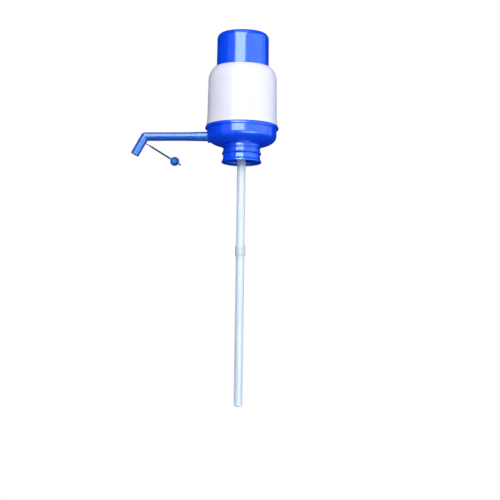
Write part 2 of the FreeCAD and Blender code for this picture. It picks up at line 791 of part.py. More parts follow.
def bellows():
    """Air bag with sharp folds, a foot flange and an inward top flange."""
    foot_top = deck_top_z + bellows_flange
    top_flange_z = head_under_z - bellows_flange
    fold_bottom = foot_top + clamp_lip_height
    outer = fold_points(0.0, fold_bottom, top_flange_z)
    inner = fold_points(bellows_wall, fold_bottom, top_flange_z)
    outline = Profile(bellows_bore_radius, deck_top_z)
    outline.to(bellows_foot_radius, deck_top_z)
    outline.to(bellows_foot_radius, foot_top)
    outline.to(outer[0][0], foot_top)
    for radius, z in outer:
        outline.to(radius, z)
    outline.to(outer[-1][0], head_under_z)
    outline.to(bellows_top_inner_radius, head_under_z)
    outline.to(bellows_top_inner_radius, top_flange_z)
    for radius, z in reversed(inner):
        outline.to(radius, z)
    bag = outline.turned()
    hole = rod(screw_radius + screw_gap, top_flange_z, head_under_z, head_screw_circle_radius)
    return bag.cut(spread(hole, head_screw_count, head_screw_start))


def bellows_clamp():
    foot_top = deck_top_z + bellows_flange
    clamp = (Profile(bellows_foot_radius + bellows_foot_room, deck_top_z)
             .to(clamp_radius, deck_top_z)
             .to(clamp_radius, clamp_top_z - edge_chamfer)
             .to(clamp_radius - edge_chamfer, clamp_top_z)
             .to(clamp_lip_inner_radius, clamp_top_z)
             .to(clamp_lip_inner_radius, foot_top)
             .to(bellows_foot_radius + bellows_foot_room, foot_top)
             .turned())
    hole = rod(screw_radius + screw_gap, deck_top_z, clamp_top_z, boss_circle_radius)
    return clamp.cut(spread(hole, deck_screw_count, deck_screw_start))


def deck_screws():
    screw = pan_screw(clamp_top_z, deck_screw_length, -1)
    screw.translate(V(boss_circle_radius, 0, 0))
    return Part.makeCompound(spread(screw, deck_screw_count, deck_screw_start))


# ----------------------------------------------------------- button and its head
def button_outline(inset):
    """Outside of the button, or its inside when moved in by a wall's thickness."""
    side = button_radius - inset
    top_side = side - button_draft
    crown = crown_z - inset
    corner = button_round - inset
    dome = button_crown_radius - inset
    centre_r = top_side - corner
    centre_z = crown - dome + math.sqrt((dome - corner) ** 2 - centre_r ** 2)
    share = dome / (dome - corner)
    touch_r = centre_r * share
    touch_z = crown - dome + (centre_z - crown + dome) * share
    half_angle = 0.5 * math.asin(touch_r / dome)
    mid_r = dome * math.sin(half_angle)
    mid_z = crown - dome + dome * math.cos(half_angle)
    return (Profile(0, button_bottom_z)
            .to(side, button_bottom_z)
            .to(side, lip_z)
            .to(top_side, centre_z)
            .corner(centre_r, centre_z, touch_r, touch_z)
            .arc(mid_r, mid_z, 0, crown)
            .turned())


def press_button():
    """Deep cup with a slotted flange, an air hub, screw bosses and ribs."""
    cup = button_outline(0.0)
    cavity = button_outline(button_wall)
    flange = rod(flange_radius, button_bottom_z, flange_top_z)
    slot_width = guide_rib_thickness + 2 * rest_gap
    slot_inner = flange_radius - guide_rib_depth - rest_gap
    slot = Part.makeBox(flange_width, slot_width, flange_thickness,
                        V(slot_inner, -0.5 * slot_width, button_bottom_z))
    shell = cup.fuse(flange).cut([cavity] + spread(slot, guide_rib_count, guide_rib_start))
    hub = rod(hub_radius, head_top_z, crown_z)
    boss = rod(head_boss_radius, head_top_z, crown_z, head_screw_circle_radius)
    rib_bottom = head_top_z + button_rib_drop
    rib = Part.makeBox(button_radius, button_rib_thickness, crown_z - rib_bottom,
                       V(0, -0.5 * button_rib_thickness, rib_bottom))
    webs = [hub] + spread(boss, head_screw_count, head_screw_start)
    webs += spread(rib, button_rib_count)
    skin = button_outline(0.5 * button_wall)
    shell = shell.fuse([web.common(skin) for web in webs])
    hub_hole = rod(hub_radius - hub_wall, head_top_z, rib_bottom + hub_hole_rise)
    window = Part.makeBox(hub_radius + 1, hub_window_width, hub_window_height,
                          V(0, -0.5 * hub_window_width, head_top_z))
    pilot = rod(screw_radius, head_top_z,
                head_top_z + head_screw_length - head_thickness - bellows_flange
                - head_ring_thickness, head_screw_circle_radius)
    cuts = [hub_hole] + spread(window, head_screw_count, head_screw_start + hub_window_turn)
    cuts += spread(pilot, head_screw_count, head_screw_start)
    return shell.cut(cuts).removeSplitter()


def bellows_head():
    """Plate under the hub; air goes down through it to the intake valve."""
    plate = (Profile(0, head_under_z).to(head_radius - edge_chamfer, head_under_z)
             .to(head_radius, head_under_z + edge_chamfer).to(head_radius, head_top_z)
             .to(0, head_top_z).turned())
    plate = plate.fuse(valve_seat(head_under_z))
    screw_hole = rod(screw_radius + screw_gap, head_under_z, head_top_z,
                     head_screw_circle_radius)
    holes = valve_ports(head_under_z - valve_seat_height, head_thickness)
    holes += spread(screw_hole, head_screw_count, head_screw_start)
    return plate.cut(holes).removeSplitter()


def head_ring():
    top = head_under_z - bellows_flange
    plain = ring(head_ring_inner_radius, head_ring_radius, top - head_ring_thickness, top)
    hole = rod(screw_radius + screw_gap, top - head_ring_thickness, top,
               head_screw_circle_radius)
    return plain.cut(spread(hole, head_screw_count, head_screw_start))


def head_screws():
    head_z = head_under_z - bellows_flange - head_ring_thickness
    screw = pan_screw(head_z, head_screw_length, 1)
    screw.translate(V(head_screw_circle_radius, 0, 0))
    return Part.makeCompound(spread(screw, head_screw_count, head_screw_start))


# ------------------------------------------------------------------------ spout
fall = math.radians(spout_fall_angle)
corner_point = V(-spout_corner_reach, 0, spout_axis_height)
nozzle_way = V(-math.cos(fall), 0, -math.sin(fall))
strap_way = V(math.sin(fall), 0, -math.cos(fall))
nozzle_frame = FreeCAD.Placement(
    corner_point, FreeCAD.Rotation(strap_way, V(0, -1, 0), nozzle_way, "ZXY"))


def on_nozzle(shape):
    """Move a shape drawn round +Z from the corner of the bend onto the nozzle."""
    placed = shape.copy()
    placed.Placement = nozzle_frame.multiply(placed.Placement)
    return placed


def seal_groove_starts():
    first = socket_inner_reach + duct_spigot_length + spout_inset + seal_edge
    return [first + index * (seal_width + seal_edge) for index in range(spout_seal_count)]


def spout():
    """Tube with a thick root that turns in the socket and a mitred bend."""
    root_end = socket_inner_reach + duct_spigot_length + spout_inset
    taper = Part.makeCone(spout_root_radius, spout_radius,
                          spout_taper_end - spout_taper_start,
                          V(-spout_taper_start, 0, spout_axis_height), V(-1, 0, 0))
    leg = on_nozzle(rod(spout_radius, 0, nozzle_length))
    tube = beam(spout_root_radius, root_end, spout_taper_start)
    tube = tube.fuse([taper, beam(spout_radius, spout_taper_end, spout_corner_reach),
                      Part.makeSphere(spout_radius, corner_point), leg])
    tube = tube.removeSplitter()
    inside_bend = corner_point + V(spout_radius * math.tan(0.5 * fall), 0, -spout_radius)
    sharp = min(tube.Edges, key=lambda edge: edge.distToShape(Part.Vertex(inside_bend))[0])
    tube = tube.makeFillet(bend_fillet, [sharp])
    groove_start = tether_reach - 0.5 * ring_width - ring_gap
    groove_end = tether_reach + 0.5 * ring_width + ring_gap
    grooves = [on_nozzle(ring(spout_radius - groove_depth, spout_radius + 1,
                              groove_start, groove_end))]
    for near in seal_groove_starts():
        grooves.append(beam(spout_root_radius + 1, near, near + seal_width).cut(
            beam(spout_root_radius - seal_depth, near, near + seal_width)))
    mouth = on_nozzle(Part.makeCone(water_bore_radius, water_bore_radius + nozzle_edge,
                                    nozzle_edge, V(0, 0, nozzle_length - nozzle_edge)))
    edge = (Profile(spout_radius - nozzle_edge, nozzle_length)
            .to(spout_radius, nozzle_length - nozzle_edge)
            .to(spout_radius + 1, nozzle_length - nozzle_edge)
            .to(spout_radius + 1, nozzle_length).turned())
    bore = [beam(water_bore_radius, root_end, spout_corner_reach),
            Part.makeSphere(water_bore_radius, corner_point),
            on_nozzle(rod(water_bore_radius, 0, nozzle_length)), mouth, on_nozzle(edge)]
    return tube.cut(grooves + bore)


def spout_seals():
    seals = [seal_ring(spout_root_radius - seal_depth, socket_bore_radius - seal_gap,
                       near, near + seal_width) for near in seal_groove_starts()]
    return Part.makeCompound(seals)


# -------------------------------------------------------------- tether and plug
def tether_ring():
    """Ring that turns in the nozzle's groove, with a tab for the strap."""
    inner = spout_radius - groove_depth + loose_gap
    outer = inner + ring_wall
    half = 0.5 * ring_width
    band = ring(inner, outer, tether_reach - half, tether_reach + half)
    tab = Part.makeBox(strap_hinge_reach - inner - 0.5 * ring_wall, strap_width,
                       strap_thickness,
                       V(inner + 0.5 * ring_wall, -0.5 * strap_width,
                         tether_reach - 0.5 * strap_thickness))
    seat_radius = 0.5 * strap_thickness + strap_hinge_gap
    seat = Part.makeCylinder(seat_radius, 2 * strap_width, V(0, -strap_width, 0), V(0, 1, 0))
    way_down = Part.makeBox(2 * strap_thickness, 2 * strap_width, 2 * seat_radius,
                            V(0, -strap_width, -seat_radius))
    way_down.rotate(V(0, 0, 0), V(0, 1, 0), -strap_droop - strap_bend_limit)
    seat = seat.fuse(way_down)
    seat.translate(V(strap_hinge_reach, 0, tether_reach))
    return on_nozzle(band.fuse(tab).cut(seat))


def strap_section(reach, twist):
    """Rectangular section of the strap, turned about its length by twist degrees."""
    half_w = 0.5 * strap_width
    half_t = 0.5 * strap_thickness
    turn = math.radians(twist)
    corners = []
    for w, t in ((half_w, half_t), (-half_w, half_t), (-half_w, -half_t), (half_w, -half_t),
                 (half_w, half_t)):
        corners.append(V(reach, w * math.cos(turn) - t * math.sin(turn),
                         w * math.sin(turn) + t * math.cos(turn)))
    return Part.makePolygon(corners)


def plug_strap():
    """Strap that turns a quarter on its way to the plug, which hangs edge-down."""
    length = plug_reach - strap_hinge_reach
    knuckle = Part.makeCylinder(0.5 * strap_thickness, strap_width,
                                V(0, -0.5 * strap_width, 0), V(0, 1, 0))
    twisted = Part.makeLoft(
        [strap_section(strap_twist_length * step / strap_twist_steps,
                       90.0 * step / strap_twist_steps)
         for step in range(strap_twist_steps + 1)], True, True)
    straight = Part.makeBox(length - strap_twist_length, strap_thickness, strap_width,
                            V(strap_twist_length, -0.5 * strap_thickness, -0.5 * strap_width))
    cap = rod(plug_radius, -0.5 * strap_thickness, plug_flange - 0.5 * strap_thickness)
    cap = cap.makeFillet(plug_edge, [edge for edge in cap.Edges
                                     if edge.Curve.TypeId == "Part::GeomCircle"])
    stopper_radius = water_bore_radius - plug_gap
    stopper_end = plug_flange - 0.5 * strap_thickness + plug_length
    stopper = rod(stopper_radius, 0, stopper_end)
    recess = rod(stopper_radius - plug_wall, plug_floor - 0.5 * strap_thickness, stopper_end)
    neck = Part.makeBox(tab_reach, tab_neck_width, strap_thickness,
                        V(0, -0.5 * tab_neck_width, -0.5 * strap_thickness))
    knob = rod(tab_knob_radius, -0.5 * strap_thickness, 0.5 * strap_thickness, tab_reach)
    plug = cap.fuse([stopper, neck, knob]).cut(recess)
    plug.rotate(V(0, 0, 0), V(1, 0, 0), -90)
    plug.translate(V(length, 0, 0))
    straight = straight.cut(Part.makeCylinder(plug_radius - 1, 2 * plug_radius,
                                              V(length, -plug_radius, 0), V(0, 1, 0)))
    strap = knuckle.fuse([twisted, straight, plug])
    strap.rotate(V(0, 0, 0), V(0, 1, 0), -strap_droop)
    strap.translate(V(strap_hinge_reach, 0, tether_reach))
    return on_nozzle(strap)


def main():
    nodes = {
        "base_bowl": base_bowl(),
        "neck_sleeve": neck_sleeve(),
        "mouth_gasket": mouth_gasket(),
        "housing": housing(),
        "deck_plate": deck_plate(),
        "deck_seal": deck_seal(),
        "deck_screws": deck_screws(),
        "bellows": bellows(),
        "bellows_clamp": bellows_clamp(),
        "water_elbow": water_elbow(),
        "elbow_seal": elbow_seal(),
        "elbow_nut": elbow_nut(),
        "duct_seal": duct_seal(),
        "dip_tube_upper": dip_tube_upper(),
        "tube_coupling": tube_coupling(),
        "dip_tube_lower": dip_tube_lower(),
        "outlet_valve_cage": at_valve(valve_cage(deck_under_z), outlet_valve_reach),
        "outlet_valve_disc": at_valve(valve_disc(deck_under_z), outlet_valve_reach),
        "press_button": press_button(),
        "bellows_head": bellows_head(),
        "head_ring": head_ring(),
        "head_screws": head_screws(),
        "intake_valve_cage": valve_cage(head_under_z),
        "intake_valve_disc": valve_disc(head_under_z),
        "spout": spout(),
        "spout_seals": spout_seals(),
        "tether_ring": tether_ring(),
        "plug_strap": plug_strap(),
    }
    os.makedirs("parts", exist_ok=True)
    for name, shape in nodes.items():
        box = shape.BoundBox
        print("%-18s solids %d valid %s volume %9.1f  x %7.1f %7.1f  y %7.1f %7.1f  z %7.1f %7.1f" % (
            name, len(shape.Solids), shape.isValid(), shape.Volume,
            box.XMin, box.XMax, box.YMin, box.YMax, box.ZMin, box.ZMax))
        shape.exportStep(os.path.join("parts", name + ".step"))


main()
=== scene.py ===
"""Finish and studio of a hand pump for a large water bottle.

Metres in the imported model's frame: z = 0 is the plane of the bottle's mouth, +Z is up and the spout
leaves along -X. Section drawings are in millimetres, as radius and height from the pump's axis.
"""

import json
import math

import bmesh
import bpy
from mathutils import Matrix, Quaternion, Vector


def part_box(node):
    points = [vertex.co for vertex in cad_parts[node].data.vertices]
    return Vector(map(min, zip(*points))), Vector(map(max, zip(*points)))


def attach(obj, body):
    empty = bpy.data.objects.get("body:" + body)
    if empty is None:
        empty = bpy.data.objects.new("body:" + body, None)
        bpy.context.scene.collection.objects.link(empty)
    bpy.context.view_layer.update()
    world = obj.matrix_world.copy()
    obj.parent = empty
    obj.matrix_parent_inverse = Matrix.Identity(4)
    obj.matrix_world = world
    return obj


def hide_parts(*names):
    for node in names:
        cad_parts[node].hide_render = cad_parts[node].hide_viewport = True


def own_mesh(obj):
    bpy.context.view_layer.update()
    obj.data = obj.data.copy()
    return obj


MM = 0.001
Y, Z = 1, 2                        # places of the axes in a corner of a box
SHELL_STEPS = 192                  # steps round a large shell
RING_STEPS = 128                   # steps round the neck, the tube and the plug
FINE_STEPS = 96                    # steps round the bellows, the hub and the tether's ring
KNUCKLE_STEPS = 64                 # steps round the strap's knuckle and its seat
BAR_STEPS = 48                     # steps round a boss or a port
PILOT_STEPS = 24                   # steps round a screw's pilot hole
ROUNDING_STEPS = 4                 # steps round a rounded corner of a section
SMOOTH_ANGLE = math.radians(32)    # edges sharper than this stay crisp
SLIVER = 2e-6                      # metres; what a cut leaves closer than this is merged

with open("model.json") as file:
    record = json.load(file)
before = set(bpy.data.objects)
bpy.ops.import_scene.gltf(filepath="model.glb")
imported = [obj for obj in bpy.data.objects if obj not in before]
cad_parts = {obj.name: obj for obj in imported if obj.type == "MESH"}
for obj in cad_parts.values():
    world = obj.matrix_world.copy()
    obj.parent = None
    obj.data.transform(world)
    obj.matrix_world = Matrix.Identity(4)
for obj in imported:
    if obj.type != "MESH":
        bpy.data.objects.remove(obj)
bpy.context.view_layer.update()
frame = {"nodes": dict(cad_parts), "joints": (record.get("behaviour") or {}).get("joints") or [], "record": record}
joints = {joint["name"]: joint for joint in frame["joints"]}


# ---------------------------------------- sizes read from the frame, in mm
def high(node, axis):
    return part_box(node)[1][axis] / MM


def low(node, axis):
    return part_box(node)[0][axis] / MM


floor_z = high("mouth_gasket", Z)
rim_radius = high("base_bowl", Y)
upstand_top_z = high("base_bowl", Z)
rim_top_z = low("housing", Z)
foot_radius = high("housing", Y)
opening_top_z = high("housing", Z)
flange_radius = high("press_button", Y)
button_bottom_z = low("press_button", Z)
crown_z = high("press_button", Z)
head_top_z = high("bellows_head", Z)
head_under_z = high("bellows", Z)
deck_top_z = low("bellows", Z)
bellows_foot_radius = high("bellows", Y)
lip_z = low("neck_sleeve", Z)
lip_radius = high("neck_sleeve", Y)
tongue_top_z = high("neck_sleeve", Z)
gasket_radius = high("mouth_gasket", Y)
spout_height = joints["spout_swivel"]["pos_m"][Z] / MM
tube_radius = high("dip_tube_lower", Y)
tube_top_z = high("dip_tube_upper", Z)
tube_joint_high = low("dip_tube_upper", Z)
tube_joint_low = high("dip_tube_lower", Z)
tube_end_z = low("dip_tube_lower", Z)
coupling_radius = high("tube_coupling", Y)
coupling_low_z = low("tube_coupling", Z)
coupling_high_z = high("tube_coupling", Z)
button_stroke = joints["button_press"]["range_m"][1] / MM

# ---------------------------------------- moulded sizes, in mm
overcut = 1.0                                  # how far a cut goes past the face that it opens
union_offset = 0.01                            # keeps two joined solids from sharing a face
floor_thickness = 2.6
bowl_wall = 3.2
bowl_radius = rim_radius - 3.0
bowl_flat_radius = bowl_radius - 22.1          # flat of the bowl's underside
bowl_curve_height = 14.5                       # of the underside, from the flat up to the wall
rim_under_z = rim_top_z - 4.6
rim_face_height = 1.9
rim_edge_round = 0.35
rim_bevel_width = 1.5
rim_land = 0.3                                 # small step between the rim's bevel and the housing's seat
foot_wall = 2.2
upstand_gap = 0.1
upstand_wall = 2.0
upstand_fillet = 1.0                           # slope between it and the bowl's wall
upstand_room = 1.0                             # over it, in the housing
snap_bead = 0.5
socket_inner_reach = bowl_radius - 18.2
socket_bore_radius = 7.36
socket_wall = 2.3
socket_sink = 1.2                              # how far the socket ends inside the bowl's outer face
deck_screw_circle = bowl_radius - bowl_wall - 8.0
deck_screw_count = 6
deck_screw_start = 30.0
screw_boss_radius = 3.6
screw_boss_top_z = deck_top_z - 3.0
screw_boss_foot_rise = 1.4                     # its foot starts in the curve of the bowl's wall
screw_pilot_radius = 1.5
screw_pilot_low_z = 17.8
port_circle = 17.2
port_radius = 2.4
port_count = 6
neck_hole_radius = 8.5

sleeve_wall = 1.5
sleeve_groove_depth = 0.9                      # of the groove under the top band
sleeve_lip_height = 1.2
crown_radius = 27.5                            # the bottle's bead that the sleeve goes over
neck_radius = 26.25                            # the bottle's neck under the bead
crown_room = 0.75
bead_z = -10.0
upper_valley_z = -2.9
lower_valley_z = -16.9
band_wall = 2.45
band_depth = 3.6
band_radius = gasket_radius + crown_room
tongue_radius = band_radius + 0.5 * band_wall
tongue_neck = 1.3
tongue_bead = 2.1
tongue_neck_height = 0.9
tongue_gap = 0.05
tongue_bead_lead = 0.4
groove_ring_wall = 2.0
gasket_width = 3.9

foot_height = 3.0
flare_height = 7.2
flare = 1.3
flare_knee = 0.72                              # share of the flare that lies under its half height
wall_lean = 0.85
shoulder_z = rim_top_z + 68.2
shoulder_width = 17.8
shoulder_height = 23.85
button_radius = 39.1
opening_radius = button_radius + 0.35
opening_round = 0.8
opening_crest_width = 0.25                     # the collar's crest beside the opening
opening_crest_drop = 0.07
guide_wall = 1.8
flange_thickness = 3.0
rest_gap = 0.3
guide_bottom_z = button_bottom_z + flange_thickness + rest_gap
guide_rib_count = 4
guide_rib_start = 45.0
guide_rib_thickness = 2.4
guide_rib_reach = 2.2
stop_rib_thickness = 8.0

button_lean = 0.35
button_round = 10.3
button_dome = 220.0
button_wall = 2.4
dome_start_degrees = 0.2                       # the dome's second point, from the axis
hub_radius = 13.5
hub_wall = 2.5
hub_hole_rise = 6.0
hub_window_width = 6.0
hub_window_height = 8.0
head_boss_radius = 3.4
head_screw_circle = 24.0
head_screw_count = 3
head_screw_start = 60.0
head_pilot_depth = 6.0
boss_dome_drop = 1.0                           # the dome is lower over the bosses than over the hub
web_thickness = 1.8
web_count = 6
web_drop = 9.0

bellows_folds = 11
bellows_radius = button_radius - button_wall - 2.7
bellows_fold_depth = 5.8
bellows_wall = 1.2
bellows_flange = 1.6
bellows_top_inner = 20.5
fold_crest_round = 1.6
fold_crest_inner_round = 1.2
fold_valley_round = 0.5
clamp_lip_height = 2.6

water_bore_radius = 5.0
tube_end_round = 0.25
coupling_lead_width = 0.4
coupling_lead_height = 1.0
nozzle_radius = 6.5
spout_bend_reach = 144.0                       # past it, along -X, the spout has no streaks
spout_streaks_reach = 134.0                    # nearer the bowl than this they are full
spout_clear_reach = 82.0                       # past it the spout isn't cloudy
spout_cloudy_reach = 56.0                      # nearer the bowl than this it is cloudiest
tether_groove = 0.5
ring_width = 2.4
ring_wall = 0.8
ring_room = 0.2
strap_width = 2.6
strap_thickness = 1.3
strap_edge_round = 0.42
strap_steps = 60
strap_hinge_gap = 0.1
strap_bend_limit = 80.0                        # degrees down
strap_droop = 2.6                              # degrees under the ring's plane
strap_length = 49.0
strap_twist_length = 14.0
strap_end_in_plug = 0.72                       # share of the plug's radius where the strap ends in it
plug_radius = 7.0
plug_flange = 1.6
plug_length = 6.0
stopper_radius = 4.95
stopper_wall = 1.1
stopper_nose_width = 0.35
stopper_nose_height = 0.7
plug_hollow = 0.9
tab_reach = 9.1
tab_knob_radius = 1.5
tab_neck_half_width = 0.6
tab_neck_root = 0.6                            # how far its neck starts inside the plug's flange


# ---------------------------------------- drawing in section
class Section:
    """An outline in mm in the radius-height plane; a corner's third number is its rounding."""

    def __init__(self, radius, height, rounding=0.0):
        self.points = [(radius, height, rounding)]

    def to(self, radius, height, rounding=0.0):
        self.points.append((radius, height, rounding))
        return self

    def ellipse(self, centre_radius, centre_height, half_width, half_height, start, end, steps):
        """Runs round an ellipse from one angle to another, in degrees from the radius axis."""
        for step in range(steps + 1):
            angle = math.radians(start + (end - start) * step / steps)
            self.to(centre_radius + half_width * math.cos(angle),
                    centre_height + half_height * math.sin(angle))
        return self

    def ease(self, radius, height, steps=8):
        """A run to a point that leaves and arrives along the axis, like a soft step."""
        start_radius, start_height, _ = self.points[-1]
        for step in range(1, steps + 1):
            share = step / steps
            self.to(start_radius + (radius - start_radius) * 0.5 * (1.0 - math.cos(math.pi * share)),
                    start_height + (height - start_height) * share)
        return self

    def wire(self, bm, closed):
        """Draws the outline's edges in a bmesh and rounds its corners."""
        verts = [bm.verts.new((radius * MM, 0.0, height * MM)) for radius, height, _ in self.points]
        for pair in zip(verts, verts[1:] + verts[:1] if closed else verts[1:]):
            bm.edges.new(pair)
        for vert, (_, _, rounding) in zip(verts, self.points):
            if rounding > 0.0:
                bmesh.ops.bevel(bm, geom=[vert], offset=rounding * MM, offset_type="OFFSET",
                                segments=ROUNDING_STEPS, profile=0.5, affect="VERTICES", material=-1)

    def spun(self, closed=True, steps=SHELL_STEPS):
        """The outline turned once round the pump's axis, as a bmesh."""
        bm = bmesh.new()
        self.wire(bm, closed)
        bmesh.ops.spin(bm, geom=bm.verts[:] + bm.edges[:], cent=(0, 0, 0), axis=(0, 0, 1), dvec=(0, 0, 0),
                       angle=2 * math.pi, steps=steps, use_merge=True, use_duplicate=False)
        bmesh.ops.remove_doubles(bm, verts=bm.verts[:], dist=SLIVER)
        return facing_out(bm)


def facing_out(bm):
    """Turns a closed mesh's faces outwards."""
    bmesh.ops.recalc_face_normals(bm, faces=bm.faces[:])
    if bm.calc_volume(signed=True) < 0.0:
        bmesh.ops.reverse_faces(bm, faces=bm.faces[:])
    return bm


# ---------------------------------------- pieces from bmesh
def as_object(name, bm, smooth_angle=SMOOTH_ANGLE):
    """Makes a bmesh a piece at the origin, shaded smooth but for its sharp edges."""
    mesh = bpy.data.meshes.new(name)
    bm.to_mesh(mesh)
    bm.free()
    mesh.shade_smooth()
    mesh.set_sharp_from_angle(angle=smooth_angle)
    piece = bpy.data.objects.new(name, mesh)
    bpy.context.scene.collection.objects.link(piece)
    return piece


def baked(piece):
    """Takes a piece's modifiers into its mesh."""
    bpy.context.view_layer.update()
    graph = bpy.context.evaluated_depsgraph_get()
    mesh = bpy.data.meshes.new_from_object(piece.evaluated_get(graph), depsgraph=graph)
    piece.modifiers.clear()
    piece.data = mesh
    return piece


def taken(piece):
    """Takes a piece's mesh back as a bmesh, and removes the piece."""
    bm = bmesh.new()
    bm.from_mesh(piece.data)
    bpy.data.objects.remove(piece)
    return bm


def combine(piece, tool_mesh, operation):
    """Adds closed solids to a piece, or cuts them away."""
    tool = as_object("tool", facing_out(tool_mesh))
    step = piece.modifiers.new("combine", "BOOLEAN")
    step.operation = operation
    step.solver = "EXACT"
    step.object = tool
    baked(piece)
    bpy.data.objects.remove(tool)
    piece.data.shade_smooth()
    piece.data.set_sharp_from_angle(angle=SMOOTH_ANGLE)
    return piece


def cleaned(piece):
    """Merges what a cut leaves as slivers, and evens the shading of flats beside rounded edges."""
    bm = bmesh.new()
    bm.from_mesh(piece.data)
    bmesh.ops.remove_doubles(bm, verts=bm.verts[:], dist=SLIVER)
    bmesh.ops.dissolve_degenerate(bm, edges=bm.edges[:], dist=SLIVER)
    bm.to_mesh(piece.data)
    bm.free()
    return evened(piece)


def evened(piece):
    """Weighs normals by face area, so that flats stay flat beside rounded edges."""
    step = piece.modifiers.new("even", "WEIGHTED_NORMAL")
    step.keep_sharp = True
    return piece


def add_bar(bm, radius, start, end, steps=BAR_STEPS):
    """A round bar between two points in mm."""
    start, end = Vector(start) * MM, Vector(end) * MM
    way = end - start
    place = Matrix.Translation((start + end) / 2) @ way.to_track_quat("Z", "Y").to_matrix().to_4x4()
    return bmesh.ops.create_cone(bm, cap_ends=True, segments=steps, radius1=radius * MM,
                                 radius2=radius * MM, depth=way.length, matrix=place)


def add_block(bm, lowest, highest, turn_degrees=0.0):
    """A block between two corners in mm, turned about the pump's axis."""
    lowest, highest = Vector(lowest) * MM, Vector(highest) * MM
    size = Matrix.Diagonal((*(highest - lowest), 1.0))
    turn = Matrix.Rotation(math.radians(turn_degrees), 4, "Z")
    return bmesh.ops.create_cube(
        bm, size=1.0, matrix=turn @ Matrix.Translation((lowest + highest) / 2) @ size)


def add_slab(bm, outline, thickness, turn_degrees):
    """A flat web: a radius-height outline in mm, given a thickness and turned about the pump's axis."""
    turn = Matrix.Rotation(math.radians(turn_degrees), 4, "Z")
    verts = [bm.verts.new(turn @ (Vector((radius, -0.5 * thickness, height)) * MM))
             for radius, height in outline]
    grown = bmesh.ops.extrude_face_region(bm, geom=[bm.faces.new(verts)])
    moved = [item for item in grown["geom"] if isinstance(item, bmesh.types.BMVert)]
    bmesh.ops.translate(bm, verts=moved, vec=turn @ Vector((0, thickness * MM, 0)))


def spaced(count, start=0.0):
    """Even angles round the pump's axis, in degrees."""
    return [start + 360.0 * index / count for index in range(count)]


def on_circle(radius, degrees, height):
    """A point in mm at an angle round the pump's axis."""
    angle = math.radians(degrees)
    return (radius * math.cos(angle), radius * math.sin(angle), height)


# ---------------------------------------- the base pieces
def tongue_run(section, gap):
    """Adds the outline of the sleeve's tongue, or of its groove, outward along the bowl's floor."""
    neck = 0.5 * tongue_neck + gap
    bead = 0.5 * tongue_bead + gap
    neck_top_z = floor_z + tongue_neck_height - gap
    top_z = tongue_top_z + gap
    return (section.to(tongue_radius - neck, floor_z)
            .to(tongue_radius - neck, neck_top_z)
            .to(tongue_radius - bead, neck_top_z + tongue_bead_lead)
            .to(tongue_radius - bead, top_z, 0.4)
            .to(tongue_radius + bead, top_z, 0.4)
            .to(tongue_radius + bead, neck_top_z + tongue_bead_lead)
            .to(tongue_radius + neck, neck_top_z)
            .to(tongue_radius + neck, floor_z))


def make_bowl():
    """Bowl with a proud rim, an upstand, a groove for the sleeve, bosses, ports and the spout's socket."""
    curve_z = floor_z + bowl_curve_height
    curve_width = bowl_radius - bowl_flat_radius
    rim_face_top_z = rim_under_z + rim_face_height
    upstand_radius = foot_radius - foot_wall - upstand_gap
    upstand_inner = upstand_radius - upstand_wall
    bead_low_z = rim_top_z + 0.5 * (upstand_top_z - rim_top_z)
    chamber_radius = bowl_radius - bowl_wall
    floor_top_z = floor_z + floor_thickness
    ring_half = 0.5 * tongue_bead + groove_ring_wall
    ring_top_z = tongue_top_z + groove_ring_wall
    section = tongue_run(Section(neck_hole_radius, floor_z, 0.4), tongue_gap)
    (section.ellipse(bowl_flat_radius, curve_z, curve_width, bowl_curve_height, -90, 0, steps=24)
     .to(bowl_radius, rim_under_z, 0.15)
     .to(rim_radius, rim_under_z, rim_edge_round)
     .to(rim_radius, rim_face_top_z, 1.2)
     .to(rim_radius - rim_bevel_width, rim_top_z - rim_land, 0.4)
     .to(rim_radius - rim_bevel_width - rim_land, rim_top_z, 0.1)
     .to(upstand_radius, rim_top_z)
     .to(upstand_radius, bead_low_z)
     .to(upstand_radius + snap_bead, bead_low_z + snap_bead, 0.2)
     .to(upstand_radius, bead_low_z + 2 * snap_bead)
     .to(upstand_radius, upstand_top_z, 0.5)
     .to(upstand_inner, upstand_top_z, 0.4)
     .to(upstand_inner, rim_top_z + upstand_fillet, 0.3)
     .to(chamber_radius, rim_top_z, 0.3)
     .ellipse(bowl_flat_radius, curve_z, chamber_radius - bowl_flat_radius,
              bowl_curve_height - floor_thickness, 0, -90, steps=18)
     .to(tongue_radius + ring_half, floor_top_z)
     .to(tongue_radius + ring_half, ring_top_z, 0.5)
     .to(tongue_radius - ring_half, ring_top_z, 0.5)
     .to(tongue_radius - ring_half, floor_top_z)
     .to(neck_hole_radius, floor_top_z, 0.4))
    bowl = as_object("bowl", section.spun())
    added = bmesh.new()
    for degrees in spaced(deck_screw_count, deck_screw_start):
        add_bar(added, screw_boss_radius,
                on_circle(deck_screw_circle, degrees, floor_top_z + screw_boss_foot_rise),
                on_circle(deck_screw_circle, degrees, screw_boss_top_z))
    add_bar(added, socket_bore_radius + socket_wall, (-socket_inner_reach, 0, spout_height),
            (-bowl_radius + socket_sink, 0, spout_height), steps=72)
    combine(bowl, added, "UNION")
    cut = bmesh.new()
    for degrees in spaced(deck_screw_count, deck_screw_start):
        add_bar(cut, screw_pilot_radius, on_circle(deck_screw_circle, degrees, screw_pilot_low_z),
                on_circle(deck_screw_circle, degrees, screw_boss_top_z + overcut), PILOT_STEPS)
    for degrees in spaced(port_count):
        add_bar(cut, port_radius, on_circle(port_circle, degrees, floor_z - overcut),
                on_circle(port_circle, degrees, floor_top_z + overcut))
    add_bar(cut, socket_bore_radius, (-socket_inner_reach + 1.5 * overcut, 0, spout_height),
            (-rim_radius - 4 * overcut, 0, spout_height), FINE_STEPS)
    combine(bowl, cut, "DIFFERENCE")
    return cleaned(bowl)


